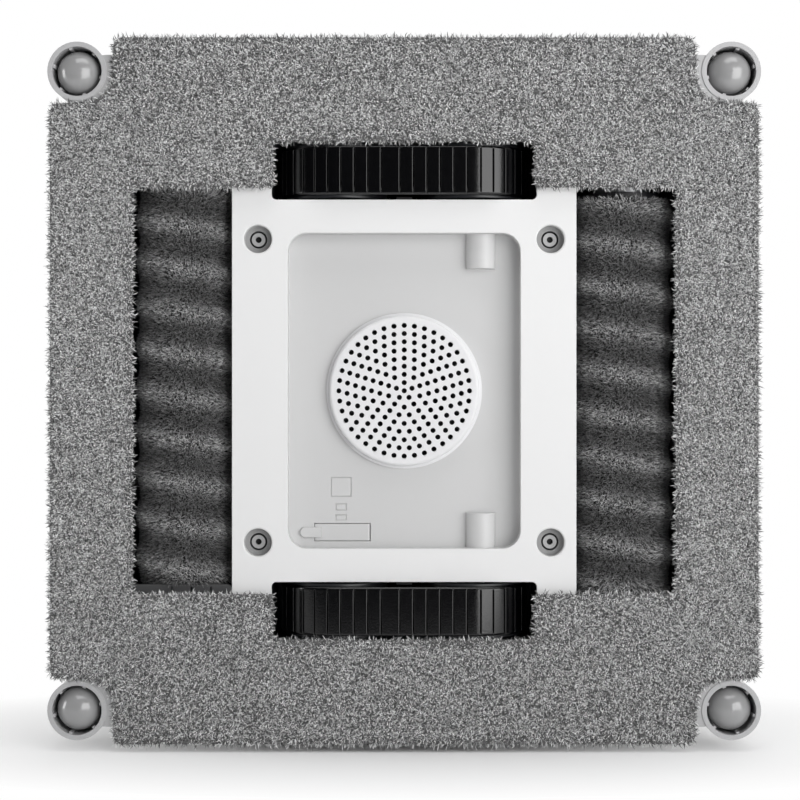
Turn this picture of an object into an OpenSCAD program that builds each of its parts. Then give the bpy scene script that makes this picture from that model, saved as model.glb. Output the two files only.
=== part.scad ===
// Window cleaning robot, as it hangs on an upright pane.
// X runs right and Z up as seen from the glass side, and Y runs away from the pane.
// The origin is the middle of the plane that the pile of the cleaning pad touches.

/* [Body] */
// Width of the body
body_w = 236; // [232:1:244]
// Height of the body
body_h = 236; // [232:1:244]
// Depth from the pane to the back of the cover
body_depth = 78; // [77:1:90]
// Radius of the body's corners
body_corner_r = 14; // [13:1:16]
// Radius of the rounded back edge
back_edge_r = 11; // [6:1:11]
// Wall of the cover and of the base
wall = 2.4; // [2:0.1:2.8]
// Depth at which the base meets the cover
split_y = 30; // [30:1:36]

/* [Cleaning pad] */
// Thickness of the pad, pile and backing together
pad_t = 4.7; // [4.4:0.1:4.9]
// How far the pad reaches past the body at the left and right
pad_out_x = 6.5; // [5.5:0.1:7]
// How far the pad reaches past the body at the top and bottom
pad_out_z = 6.2; // [5.5:0.1:7]
// Corner radius of the openings in the pad
pad_open_r = 1.8; // [1:0.1:2.8]
// Radius of the convex corners beside a cup
pad_corner_r = 2.6; // [1.5:0.1:4]
// Radius of the concave corner behind a cup
notch_r = 10; // [9.5:0.1:10.6]
// Gap between a cup and the pad, sideways
notch_gap_x = 2.2; // [1.2:0.1:2.4]
// Gap between a cup and the pad, up and down
notch_gap_z = 0.6; // [0.3:0.1:0.8]
// Thickness of the hook tape that holds the pad
tape_t = 0.8; // [0.6:0.1:1]

/* [Base plate] */
// Depth of the base plate's face
base_y = 5; // [5:0.1:5.4]
// Thickness of the base plate
base_t = 2.6; // [2.2:0.1:3]
// Distance from the pad's edge in to the base plate's edge
base_inset = 1.5; // [1:0.1:2]
// Sideways distance between screws
screw_span_x = 103.2; // [101:0.2:104]
// Upright distance between screws
screw_span_z = 107; // [104:0.2:108]
// Radius of a screw's counterbore
counterbore_r = 4.9; // [4.5:0.1:5.2]
// Depth of a screw's counterbore
counterbore_d = 4; // [3:0.1:4.4]
// Radius of a screw's head
head_r = 2.65; // [2.5:0.05:2.8]
// Radius of a screw's shank
shank_r = 1.5; // [1.2:0.1:1.6]

/* [Suction tray] */
// Width of the suction recess
recess_w = 82.2; // [78:0.2:83]
// Height of the suction recess
recess_h = 111.4; // [110:0.2:112]
// Corner radius of the suction recess
recess_r = 6.6; // [4:0.2:9]
// Depth of the tray's floor
tray_y = 13; // [12.5:0.1:13.2]
// Thickness of the tray
tray_t = 1.6; // [1.4:0.1:1.8]
// Sideways place of the two half-round bosses
bulge_x = 27.3; // [22:0.1:32]
// Radius of the half-round bosses
bulge_r = 5.2; // [4:0.1:5.6]
// Length of the half-round bosses
bulge_len = 12.3; // [8:0.1:16]

/* [Fan grille] */
// Radius of the perforated disc
grille_r = 26.7; // [26.5:0.1:28]
// Radius of the step at the disc's foot
grille_rim_r = 27.7; // [27.6:0.1:29]
// Depth of the disc's face
grille_y = 9.4; // [9:0.1:10]
// Thickness of the disc
grille_t = 1.6; // [1.2:0.1:2]
// Radius of one hole
grille_hole_r = 0.9; // [0.7:0.05:1]
// Distance between rings of holes
grille_pitch = 2.9; // [2.7:0.05:2.95]
// Number of rings of holes
grille_rings = 8; // [4:1:8]

/* [Rollers] */
// Sideways place of a roller's axis
roller_x = 78; // [77.5:0.1:79]
// Radius over the pile
roller_r = 19; // [18:0.1:19.4]
// Radius of the tube under the pile
tube_r = 13.5; // [13:0.1:14.5]
// Length of the pile
roller_len = 139; // [130:0.5:144]
// Depth of the roller's front
roller_front = 1.5; // [1:0.1:2]
// How far the opening in the pad reaches past the low end of the pile
end_show = 3.4; // [2:0.1:3.4]
// How far the opening in the pad reaches past the high end of the pile
end_hide = 0.4; // [0.2:0.1:0.8]
// Radius of the plug in a roller's low end
cap_r = 12.3; // [11.6:0.1:12.4]
// Height of the slotted guard under a roller
guard_h = 5.6; // [4:0.1:5.8]
// Distance between the slots of the guard
guard_pitch = 6.9; // [5:0.1:8]

/* [Tracks] */
// Height of a track's middle above the centre of the robot
track_z = 77.6; // [77:0.1:78.4]
// Distance between the two wheels of a track
wheel_span = 47.6; // [46:0.2:49]
// Radius of the belt round a wheel
belt_r = 20.5; // [19.5:0.1:21]
// Thickness of the belt
belt_t = 2.5; // [2:0.1:3]
// Width of the belt
belt_w = 17.2; // [16:0.2:17.6]
// Depth of the belt's front
belt_front = 1.5; // [1:0.1:2]
// Distance from lug to lug
lug_pitch = 4.76; // [4.4:0.02:8]
// Width of the one wider lug where the belt is joined
joint_lug = 6.6; // [5:0.1:8]
// Width of the groove between two lugs
groove_w = 0.7; // [0.5:0.1:1.2]
// Depth of the groove between two lugs
groove_d = 1; // [0.6:0.1:1.4]

/* [Edge feelers] */
// Outer radius of a cup
cup_r = 10.4; // [10:0.1:10.8]
// Wall of a cup
cup_wall = 1.7; // [1.5:0.1:1.9]
// Distance from the body's side in to a cup's centre
cup_in_x = 3.1; // [2.8:0.1:5]
// Distance from the body's top in to a cup's centre
cup_in_z = 5.8; // [5.4:0.1:6.6]
// Depth of a cup's rim
cup_rim_y = 2; // [1.6:0.1:2.4]
// Radius of the dome
dome_r = 7.7; // [7.2:0.1:7.8]
// Depth of the dome's widest part behind the rim
dome_set = 5.8; // [5.8:0.1:6.2]
// Travel of the dome
dome_travel = 4; // [2:0.5:4]

/* [Blower] */
// Radius of the blower housing
blower_r = 37; // [36:0.5:40]
// Radius of the impeller
impeller_r = 31; // [28:0.5:32]
// Depth of the blower housing
blower_depth = 20; // [18:0.5:21]
// Number of blades
blades = 11; // [7:1:13]
// Radius of the fan motor
fan_motor_r = 15; // [12:0.5:18]
// Length of the fan motor
fan_motor_len = 20; // [16:1:21]
// Radius of the exhaust grille
exhaust_r = 38; // [34:1:42]

/* [Controls] */
// Radius of the start button
button_r = 8.5; // [7:0.5:9]
// Height of the start button above the centre
button_z = 76; // [72:1:80]
// Travel of the start button
button_travel = 0.8; // [0.4:0.1:1]
// Radius of the bore of the power inlet
inlet_r = 2.8; // [2.5:0.1:3.2]
// Radius of the hole in the rope eye
rope_hole_r = 2.5; // [2:0.1:3]
// Width of the flap over the service port
flap_w = 20; // [17:0.2:21]
// Height of the flap over the service port
flap_h = 6.4; // [6:0.1:7]

/* [Hidden] */
$fn = 64;

// Clearances and the overrun of every cut
over = 1;
fit = 0.1;
run = 0.05;
soft_gap = 0.3;

// Colours as the photograph shows them
white = [0.93, 0.93, 0.93];
pale_grey = [0.8, 0.8, 0.8];
cup_grey = [0.72, 0.72, 0.72];
pad_grey = [0.6, 0.6, 0.6];
pile_grey = [0.28, 0.28, 0.28];
black = [0.05, 0.05, 0.06];
steel = [0.6, 0.6, 0.62];
board_green = [0.1, 0.35, 0.2];

// Body and pad, worked out
base_back = base_y + base_t;
pad_w = body_w + 2 * pad_out_x;
pad_h = body_h + 2 * pad_out_z;
cup_x = body_w / 2 - cup_in_x;
cup_z = body_h / 2 - cup_in_z;
notch_x = cup_x - cup_r - notch_gap_x;
notch_z = cup_z - cup_r - notch_gap_z;
tape_band = 20;
tape_strip = 18;
tape_len = 140;
corner_floor = 2;
corner_square = 34;
rib_t = 1.6;
rib_h = 8;
rib_in = 19;
rib_len = body_w - 2 * rib_in;
lip_t = 1.2;
lip_h = 3;
seam = 0.4;

// Screws and the posts that they bite into
screw_head_h = 2;
screw_len = 16;
socket_r = 1.05;
socket_d = 1.4;
head_gap = 0.4;
counterbore_lip = 0.4;
screw_boss_wall = 0.8;
screw_floor = 1.4;
post_r = 3.6;
seat_y = base_y + counterbore_d + screw_head_h;
post_y = seat_y + screw_floor;

// Rollers, worked out
roller_y = roller_front + roller_r;
pad_over_roller = 1.5;
plate_over_roller = 1.7;
pad_lip_x = 3;
pad_lip_z = 2.6;
pad_open_h = roller_len + end_show + end_hide;
pad_open_x = roller_x + roller_r - pad_over_roller;
window_in_x = roller_x - roller_r + plate_over_roller;
window_out_x = pad_open_x + pad_lip_x;
window_top = pad_open_h / 2 + pad_lip_z;
window_foot = guard_h + soft_gap + fit;
tube_wall = 2;
tube_in_r = tube_r - tube_wall;
tube_tail = 2.4;
pile_round = 2;
cap_h = 5.5;
cap_edge = 0.8;
spigot_h = 6;
guard_set = 0.4;
guard_slots = 3;
guard_slot_x = 4.6;
guard_slot_w = 0.8;
guard_slot_end = 0.9;
guard_r = pad_open_r - fit;
stub_r = 2.5;
bush_r = 4.5;
bush_len = 3.1;
roller_gap = 2;
roller_well_t = 1.6;
well_end_gap = 2;
well_tail_gap = 5;
roller_motor_r = 10;
roller_motor_len = 39.5;
hub_gap = 3;
hub_t = 3;
roller_shaft_r = 1.5;
roller_shaft_len = 12;
wire_hole_r = 4;
cavity_low = -cap_h - well_end_gap;
cavity_high = roller_len + tube_tail + well_tail_gap;
motor_face = cavity_high - roller_motor_len;
left_z = -pad_open_h / 2 + end_show;
right_z = pad_open_h / 2 - end_show - roller_len;
roller_reach = max(left_z + cavity_high, -right_z - cavity_low) + roller_well_t;

// Tracks, worked out
wheel_y = belt_front + belt_r;
belt_in_r = belt_r - belt_t;
track_end_gap = 2.5;
track_in_gap = 1.6;
track_out_gap = 1.8;
track_back_gap = 1.5;
track_well_t = 2;
track_half = wheel_span / 2 + belt_r + track_end_gap;
track_low = track_z - belt_w / 2 - track_in_gap;
track_high = track_z + belt_w / 2 + track_out_gap;
track_r = 1.8;
track_back = wheel_y + belt_r + track_back_gap;
pad_track_lip_x = 0.8;
pad_track_lip_z = 0.5;
belt_border = 0.8;
rim_gap = 0.3;
rim_t = 2.5;
flange_r = 18.5;
flange_t = 0.8;
web_t = 3;
wheel_hub_r = 5;
wheel_hole_r = 2.8;
wheel_hole_at = 10;
wheel_holes = 6;
bridge_w = 5.6;
bridge_t = 1.2;
axle_r = 2;
axle_head_r = 3.5;
axle_head_h = 1.4;
shaft_r = 2.5;
shaft_in = 12;
gearbox_w = 22;
gearbox_t = 14;
gearbox_front = 6.6;
gearbox_back = 23;
gearbox_r = 3;
can_r = 9.5;
can_len = 36;
can_y = 36;
can_drop = 10.4;
joint_x = -8.1;
belt_len = 2 * wheel_span + 2 * PI * belt_r;
lugs = round((belt_len - joint_lug) / lug_pitch);
rib_z = (max(track_high + track_well_t, roller_reach) + body_h / 2 - wall) / 2;

// Edge feelers, worked out
cup_back = split_y;
cup_floor_t = 1.6;
cup_flange_w = 3;
cup_flange_t = 1.6;
web_set = 0.4;
cup_in_r = cup_r - cup_wall;
guide_w = 1.1;
guide_gap = 0.3;
guide_front = 1;
guide_back = 10.5;
guides = 6;
guide_turn = 46.5;
dome_y = cup_rim_y + dome_set;
dome_wall = 2.6;
collar_y = cup_rim_y + guide_back + guide_gap;
collar_r = 8.35;
collar_t = 1.2;
stem_r = 2.2;
stem_len = 4.2;
stem_end = collar_y + collar_t + stem_len;
switch_w = 6;
switch_cap_r = 1.75;
switch_cap_h = 1;
switch_gap = 0.2;
cup_inside_y = cup_back - cup_floor_t;
spring_r = 5.6;
spring_wire_r = 0.4;
spring_turns = 5;
spring_rings = 12;
spring_sides = 6;

// Tray, flap and blower, worked out
tray_back = tray_y + tray_t;
tray_flange = 3;
fan_hole_r = 24;
grille_edge = 1.2;
grille_rim_t = 0.8;
grille_wall = 1.6;
port_x = -22;
port_z = -50.4;
port_depth = 6;
port_wall = 1.5;
flap_gap = 0.2;
flap_t = 1.4;
barrel_r = flap_t / 2;
tab_out = 5;
tab_in = 2.5;
tab_h = 3.6;
tab_t = 0.8;
socket_w = 9;
socket_h = 3.2;
socket_wall = 0.4;
socket_floor = 0.6;
tongue_h = 0.7;
outline_t = 0.3;
outline_d = 0.2;
outline_x = -22.5;
outline_zs = [-34.3, -41.4, -45.1];
outline_ws = [7.4, 3.9, 3.9];
outline_hs = [7, 2.5, 2.1];
gasket_r = 33;
gasket_w = 4;
gasket_t = 1.5;
blower_y = tray_back + gasket_t;
blower_wall = 2;
blower_inlet_r = 16;
blower_back = blower_y + blower_depth;
blower_slots = 12;
blower_slot_w = 5;
impeller_gap = 1.4;
impeller_t = 1.2;
impeller_front = blower_y + blower_wall + impeller_gap;
impeller_back = blower_back - blower_wall - impeller_gap;
eye_r = 17;
blade_r = 21;
blade_t = 1.2;
hub_r = 5.5;
fan_shaft_r = 1.5;
fan_shaft_in = 14;
shaft_hole_r = 3.5;
fan_motor_end = 1.6;
fan_motor_back = blower_back + fan_motor_len;

// Exhaust, controls and electronics, worked out
exhaust_t = 2;
exhaust_slots = 28;
exhaust_slot_w = 2.2;
exhaust_in = 15;
exhaust_rim = 3.5;
bezel_w = 3;
bezel_d = 0.8;
ring_t = 3;
ring_w = 2.8;
button_gap = 0.4;
button_collar_w = 0.8;
button_collar_t = 1.1;
button_proud = 0.6;
button_t = 2.4;
button_stem_r = 2;
board_t = 1.6;
button_board_r = 13;
button_board_in = 10.8;
button_board_y = body_depth - button_board_in;
button_switch_h = 2.6;
small_post_r = 2;
inlet_x = 34;
fitting_in = 19;
fitting_z = body_h / 2 - fitting_in;
inlet_body_r = 6.5;
inlet_flange_r = 8;
inlet_flange_t = 1;
inlet_len = 12;
inlet_depth = 9;
eye_x = -34;
eye_t = 4;
eye_w = 10;
eye_h = 5.5;
foot_w = 16;
foot_h = 14;
foot_t = 1.6;
board_w = 100;
board_h = 48;
board_in = 36;
board_z = board_in - body_h / 2;
board_y = 56;
board_inset = 6;
holder_y = track_back + track_well_t;
holder_wall = 1.4;
cell_gap = 0.3;
cell_back_gap = 1.1;
cell_r = (button_board_y - cell_back_gap - holder_y - holder_wall - cell_gap) / 2;
cell_len = 65;
cells_in = 40;
cells_z = body_h / 2 - cells_in;
tip_r = cell_r / 3;
tip_h = 1;
holder_w = 2 * (cell_len + tip_h) + 3 * cell_gap + 2 * holder_wall;
holder_h = 4 * cell_r + 3 * cell_gap + 2 * holder_wall;
cell_y = holder_y + holder_wall + cell_gap + cell_r;
holder_rim_y = cell_y + cell_r / 2;
holder_ear_r = 3.4;
holder_ear_t = 2;
holder_ear_x = holder_w / 2 + holder_ear_r - holder_wall;

// Flat drawing as seen from the glass side, carried from depth y0 to y1
module slab(y0, y1) {
    translate([0, y1, 0])
        rotate([90, 0, 0])
            linear_extrude(height = y1 - y0)
                children();
}

// Round bar along Y
module rod_y(x, z, y0, y1, r) {
    translate([x, y0, z])
        rotate([-90, 0, 0])
            cylinder(h = y1 - y0, r = r);
}

// Profile of radius and depth, turned about Y
module turned_y() {
    rotate([-90, 0, 0])
        rotate_extrude($fn = 96)
            children();
}

module rounded(w, h, r) {
    square([w - 2 * r, h], center = true);
    square([w, h - 2 * r], center = true);
    for (x = [-1, 1])
        for (y = [-1, 1])
            translate([x * (w / 2 - r), y * (h / 2 - r)])
                circle(r);
}

module ring(r_out, r_in) {
    difference() {
        circle(r_out);
        circle(r_in);
    }
}

// The same drawing in all four corners
module quarters() {
    for (x = [0, 1])
        for (y = [0, 1])
            mirror([x, 0])
                mirror([0, y])
                    children();
}

// The same solid at the left and right, and at the top and bottom
module corners() {
    for (x = [0, 1])
        for (z = [0, 1])
            mirror([x, 0, 0])
                mirror([0, 0, z])
                    children();
}

// Outline of the pad, or of the plate a distance inside it
module pad_outline(inset = 0) {
    difference() {
        square([pad_w - 2 * inset, pad_h - 2 * inset], center = true);
        quarters() {
            translate([notch_x - inset, notch_z - inset])
                notch(notch_r + inset);
            translate([notch_x - inset - pad_corner_r, pad_h / 2 - inset - pad_corner_r])
                corner_cut(pad_corner_r);
            translate([pad_w / 2 - inset - pad_corner_r, notch_z - inset - pad_corner_r])
                corner_cut(pad_corner_r);
        }
    }
}

// The corner that a notch takes away, with its inner corner rounded
module notch(r) {
    side = body_w / 2;
    translate([r, 0])
        square(side);
    translate([0, r])
        square(side);
    translate([r, r])
        circle(r);
}

// What is left of a square when its corner is rounded
module corner_cut(r) {
    difference() {
        square(r + over);
        circle(r);
    }
}

module roller_windows() {
    for (side = [-1, 1]) {
        low = (side < 0 ? left_z : right_z) - window_foot;
        translate([side * (window_in_x + window_out_x) / 2, (window_top + low) / 2])
            rounded(window_out_x - window_in_x, window_top - low, pad_open_r);
    }
}

module track_windows(lip_x = 0, lip_z = 0) {
    w = 2 * (track_half - lip_x);
    h = track_high - lip_z - track_low;
    for (side = [-1, 1])
        translate([0, side * (track_low + h / 2)])
            rounded(w, h, track_r);
}

module body_outline(inset = 0) {
    rounded(body_w - 2 * inset, body_h - 2 * inset, body_corner_r - inset);
}

module tape_patches() {
    band_z = (track_high + pad_h / 2) / 2;
    strip_x = (window_out_x + pad_w / 2) / 2;
    for (side = [-1, 1]) {
        translate([0, side * band_z])
            square([tape_len, tape_band], center = true);
        translate([side * strip_x, 0])
            square([tape_strip, tape_len], center = true);
    }
}

module at_screws() {
    corners()
        translate([screw_span_x / 2, 0, screw_span_z / 2])
            children();
}

module at_cup(side, up) {
    translate([side * cup_x, 0, up * cup_z])
        children();
}

module cup_spaces(y1) {
    corners()
        rod_y(cup_x, cup_z, base_y - over, y1, cup_r + fit);
}

module base_plate() {
    color(white)
        difference() {
            union() {
                slab(base_y, base_back)
                    pad_outline(base_inset);
                slab(base_back, base_back + corner_floor)
                    intersection() {
                        body_outline();
                        quarters()
                            translate([body_w / 2 - corner_square, body_h / 2 - corner_square])
                                square(corner_square);
                    }
                slab(base_back, split_y - seam)
                    difference() {
                        body_outline();
                        body_outline(wall);
                    }
                screw_bosses();
                base_ribs();
            }
            slab(base_y - over, base_back + over) {
                roller_windows();
                track_windows();
                rounded(recess_w, recess_h, recess_r);
            }
            slab(base_y - over, pad_t + tape_t)
                tape_patches();
            at_screws()
                screw_hole();
            cup_spaces(split_y + over);
        }
}

// Bosses under the screws, cut back where a roller's well passes
module screw_bosses() {
    difference() {
        at_screws()
            rod_y(0, 0, base_back, post_y, counterbore_r + screw_boss_wall);
        for (side = [0, 1])
            mirror([side, 0, 0])
                translate([roller_x, 0, -body_h / 2])
                    linear_extrude(height = body_h)
                        trough(roller_well_t + fit);
    }
}

// Counterbore with a broken edge, then a close seat for the head, then the shank's hole
module screw_hole() {
    floor_y = base_y + counterbore_d;
    turned_y()
        polygon([
            [0, base_y - over],
            [counterbore_r + counterbore_lip + over, base_y - over],
            [counterbore_r, base_y + counterbore_lip],
            [counterbore_r, floor_y],
            [head_r + head_gap, floor_y],
            [head_r + head_gap, seat_y],
            [shank_r + fit, seat_y],
            [shank_r + fit, post_y + over],
            [0, post_y + over]
        ]);
}

// Ribs that stiffen the plate above and below the tracks
module base_ribs() {
    reach = body_h / 2 - wall - rib_z;
    for (side = [-1, 1]) {
        translate([0, base_back + rib_h / 2, side * rib_z])
            cube([rib_len, rib_h, rib_t], center = true);
        for (x = [-screw_span_x / 2, 0, screw_span_x / 2])
            translate([x, base_back + rib_h / 2, side * (rib_z + reach / 2)])
                cube([rib_t, rib_h, reach], center = true);
    }
}

module cleaning_pad() {
    color(pad_grey)
        slab(0, pad_t)
            difference() {
                pad_outline();
                rounded(2 * pad_open_x, pad_open_h, pad_open_r);
                rounded(
                    2 * (track_half - pad_track_lip_x),
                    2 * (track_high - pad_track_lip_z),
                    pad_open_r
                );
            }
}

module hook_tape() {
    color(black)
        slab(pad_t, pad_t + tape_t)
            tape_patches();
}

module plate_screws() {
    color(steel)
        at_screws()
            difference() {
                union() {
                    rod_y(0, 0, seat_y - screw_head_h, seat_y, head_r);
                    rod_y(0, 0, seat_y, seat_y + screw_len, shank_r);
                }
                rod_y(0, 0, seat_y - screw_head_h - over, seat_y - screw_head_h + socket_d, socket_r);
            }
}

module port_frame(grow) {
    translate([port_x, port_z])
        square([flap_w + 2 * grow, flap_h + 2 * grow], center = true);
}

module suction_tray() {
    color(pale_grey)
        difference() {
            union() {
                slab(base_back, base_back + tray_t)
                    rounded(
                        recess_w + 2 * tray_t + 2 * tray_flange,
                        recess_h + 2 * tray_t + 2 * tray_flange,
                        recess_r + tray_t + tray_flange
                    );
                slab(base_back, tray_back)
                    rounded(recess_w + 2 * tray_t, recess_h + 2 * tray_t, recess_r + tray_t);
                slab(tray_y, tray_y + port_depth + port_wall)
                    port_frame(port_wall);
            }
            difference() {
                slab(base_back - over, tray_y)
                    rounded(recess_w, recess_h, recess_r);
                for (side = [-1, 1])
                    tray_bulge(side);
            }
            rod_y(0, 0, tray_y - over, tray_back + over, fan_hole_r);
            slab(tray_y - over, tray_y + port_depth)
                port_frame(0);
            slab(tray_y - over, tray_y + outline_d)
                tray_outlines();
            at_screws()
                rod_y(0, 0, base_back - over, tray_back + over, counterbore_r + screw_boss_wall + fit);
        }
}

// Half-round boss that runs in from the recess's wall
module tray_bulge(side) {
    z0 = recess_h / 2 - bulge_len;
    mirror([0, 0, side < 0 ? 1 : 0])
        translate([bulge_x, tray_y, z0])
            cylinder(h = bulge_len + over, r = bulge_r);
}

// Thin sunk outlines above the flap
module tray_outlines() {
    for (i = [0:len(outline_zs) - 1])
        translate([outline_x, outline_zs[i]])
            difference() {
                square([outline_ws[i], outline_hs[i]], center = true);
                square([outline_ws[i] - 2 * outline_t, outline_hs[i] - 2 * outline_t], center = true);
            }
}

// Profile of radius and depth with the front outer corner rounded
module capped_profile(r, y0, y1, edge) {
    translate([0, y0])
        square([r - edge, y1 - y0]);
    translate([0, y0 + edge])
        square([r, y1 - y0 - edge]);
    translate([r - edge, y0 + edge])
        circle(edge);
}

module fan_grille() {
    color(white)
        difference() {
            union() {
                turned_y()
                    difference() {
                        capped_profile(grille_r, grille_y, tray_y, grille_edge);
                        translate([0, grille_y + grille_t])
                            square([grille_r - grille_wall, tray_y]);
                        translate([-grille_r, 0])
                            square([grille_r, 2 * tray_y]);
                    }
                slab(tray_y - grille_rim_t, tray_y)
                    ring(grille_rim_r, grille_r - grille_wall);
            }
            slab(grille_y - over, grille_y + grille_t + over)
                grille_holes();
        }
}

// One hole in the middle, then five more in each ring than in the last
module grille_holes() {
    circle(grille_hole_r);
    for (k = [1:grille_rings])
        for (i = [0:5 * k - 1])
            rotate(90 + i * 72 / k)
                translate([k * grille_pitch, 0])
                    circle(grille_hole_r);
}

// Flap over the service port, hinged at its right edge
module port_flap() {
    x0 = port_x - flap_w / 2 + flap_gap;
    x1 = port_x + flap_w / 2 - flap_gap - barrel_r;
    h = flap_h - 2 * flap_gap;
    tab_x0 = port_x - flap_w / 2 - tab_out;
    color(pale_grey) {
        slab(tray_y, tray_y + flap_t)
            translate([x0, port_z - h / 2])
                square([x1 - x0, h]);
        translate([x1, tray_y + barrel_r, port_z - h / 2])
            cylinder(h = h, r = barrel_r);
        slab(tray_y - tab_t - fit, tray_y - fit) {
            translate([tab_x0 + tab_h / 2, port_z])
                circle(d = tab_h);
            translate([tab_x0 + tab_h / 2, port_z - tab_h / 2])
                square([tab_out + tab_in - tab_h / 2, tab_h]);
        }
        slab(tray_y - tab_t / 2, tray_y + flap_t / 2)
            translate([x0, port_z - tab_h / 2])
                square([tab_in - flap_gap, tab_h]);
    }
}

module service_port() {
    y0 = tray_y + flap_t + soft_gap;
    color(steel)
        translate([port_x, 0, port_z]) {
            difference() {
                slab(y0, tray_y + port_depth)
                    rounded(socket_w, socket_h, socket_h / 2 - socket_wall);
                slab(y0 - over, tray_y + port_depth - socket_floor)
                    rounded(
                        socket_w - 2 * socket_wall,
                        socket_h - 2 * socket_wall,
                        socket_h / 2 - 2 * socket_wall
                    );
            }
            slab(y0 + socket_wall, tray_y + port_depth)
                square([socket_w - socket_h, tongue_h], center = true);
        }
}

// A round-cornered block with a rounded back edge, from depth y0 to y1
module pillow(w, h, y0, y1, r, edge) {
    x = w / 2 - r;
    z = h / 2 - r;
    for (sx = [-1, 1])
        for (sz = [-1, 1])
            translate([sx * x, 0, sz * z])
                turned_y()
                    intersection() {
                        pillow_profile(2 * r, y0, y1, edge);
                        square([r, y1]);
                    }
    rotate([90, 0, 90])
        translate([0, 0, -x])
            linear_extrude(height = 2 * x)
                rotate(-90)
                    mirror([1, 0])
                        pillow_profile(h, y0, y1, edge);
    translate([0, 0, -z])
        linear_extrude(height = 2 * z)
            pillow_profile(w, y0, y1, edge);
}

// Section of that block: width across, depth up
module pillow_profile(w, y0, y1, edge) {
    translate([-w / 2, y0])
        square([w, y1 - y0 - edge]);
    translate([-w / 2 + edge, y0])
        square([w - 2 * edge, y1 - y0]);
    for (side = [-1, 1])
        translate([side * (w / 2 - edge), y1 - edge])
            circle(edge);
}

module top_cover() {
    inside = body_depth - wall;
    color(white)
        difference() {
            union() {
                difference() {
                    pillow(body_w, body_h, split_y, body_depth, body_corner_r, back_edge_r);
                    pillow(
                        body_w - 2 * wall,
                        body_h - 2 * wall,
                        split_y - over,
                        inside,
                        body_corner_r - wall,
                        back_edge_r - wall
                    );
                }
                cover_lip();
                at_screws()
                    rod_y(0, 0, post_y, inside + fit, post_r);
                cover_posts(inside + fit);
                slab(body_depth - wall, body_depth + bezel_d)
                    ring(exhaust_r + bezel_w, exhaust_r);
            }
            at_screws()
                rod_y(0, 0, post_y - over, seat_y + screw_len + over, shank_r + run);
            rod_y(0, 0, inside - over, body_depth + over, exhaust_r + fit);
            rod_y(0, button_z, inside - over, body_depth + over, button_r + button_gap + ring_w + fit);
            rod_y(inlet_x, fitting_z, inside - over, body_depth + over, inlet_body_r + fit);
        }
}

// Lip inside the cover's rim that reaches into the base, cut away round the cups
module cover_lip() {
    slab(split_y, split_y + lip_h)
        difference() {
            body_outline(wall / 2);
            body_outline(wall + fit + lip_t);
        }
    difference() {
        slab(split_y - lip_h, split_y + lip_h)
            difference() {
                body_outline(wall + fit);
                body_outline(wall + fit + lip_t);
            }
        cup_spaces(split_y);
    }
}

// Posts for the battery holder, the main board and the button's board
module cover_posts(y1) {
    corners_of_board()
        rod_y(0, 0, board_y + board_t, y1, small_post_r);
    holder_ears()
        rod_y(0, 0, holder_rim_y, y1, small_post_r);
    for (side = [-1, 1])
        translate([side * (button_board_r + small_post_r / 2), 0, button_z])
            rod_y(0, 0, button_board_y + board_t, y1, small_post_r);
}

module holder_ears() {
    for (side = [-1, 1])
        for (up = [-1, 1])
            translate([side * holder_ear_x, 0, cells_z + up * cell_r])
                children();
}

module corners_of_board() {
    for (side = [-1, 1])
        for (up = [-1, 1])
            translate([side * (board_w / 2 - board_inset), 0, board_z + up * (board_h / 2 - board_inset)])
                children();
}

module exhaust_grille() {
    y1 = body_depth + bezel_d / 2;
    color(pale_grey)
        slab(y1 - exhaust_t, y1)
            difference() {
                circle(exhaust_r);
                for (i = [0:exhaust_slots - 1])
                    rotate(i * 360 / exhaust_slots)
                        translate([exhaust_in, -exhaust_slot_w / 2])
                            square([exhaust_r - exhaust_rim - exhaust_in, exhaust_slot_w]);
            }
}

module light_ring() {
    y1 = body_depth + fit;
    color(pale_grey)
        translate([0, 0, button_z])
            slab(y1 - ring_t, y1)
                ring(button_r + button_gap + ring_w, button_r + button_gap);
}

module start_button() {
    y1 = body_depth + button_proud;
    switch_top = button_board_y + board_t + button_switch_h + switch_cap_h;
    stem_y = switch_top + button_travel + switch_gap;
    collar_back = body_depth + fit - ring_t - run;
    color(white)
        translate([0, 0, button_z]) {
            mirror([0, 1, 0])
                turned_y()
                    difference() {
                        capped_profile(button_r, -y1, button_t - y1, button_proud);
                        translate([-button_r, -2 * y1])
                            square([button_r, 2 * y1]);
                    }
            slab(collar_back - button_collar_t, collar_back)
                circle(button_r + button_gap + button_collar_w);
            slab(collar_back - button_collar_t / 2, y1 - button_t / 2)
                circle(button_r - button_proud);
            rod_y(0, 0, stem_y, y1 - button_t / 2, button_stem_r);
        }
}

module button_board() {
    top = button_board_y + board_t;
    side = switch_w / 2;
    color(board_green)
        translate([0, 0, button_z]) {
            slab(button_board_y, top)
                rounded(2 * button_board_r + 2 * small_post_r, button_board_r, small_post_r);
            slab(top, top + button_switch_h)
                square(2 * side, center = true);
            rod_y(0, 0, top, top + button_switch_h + switch_cap_h, switch_cap_r);
        }
}

module power_inlet() {
    y1 = body_depth + inlet_flange_t;
    color(black)
        translate([inlet_x, 0, fitting_z])
            difference() {
                union() {
                    rod_y(0, 0, y1 - inlet_len, y1, inlet_body_r);
                    rod_y(0, 0, body_depth, y1, inlet_flange_r);
                }
                rod_y(0, 0, y1 - inlet_depth, y1 + over, inlet_r);
            }
}

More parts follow.
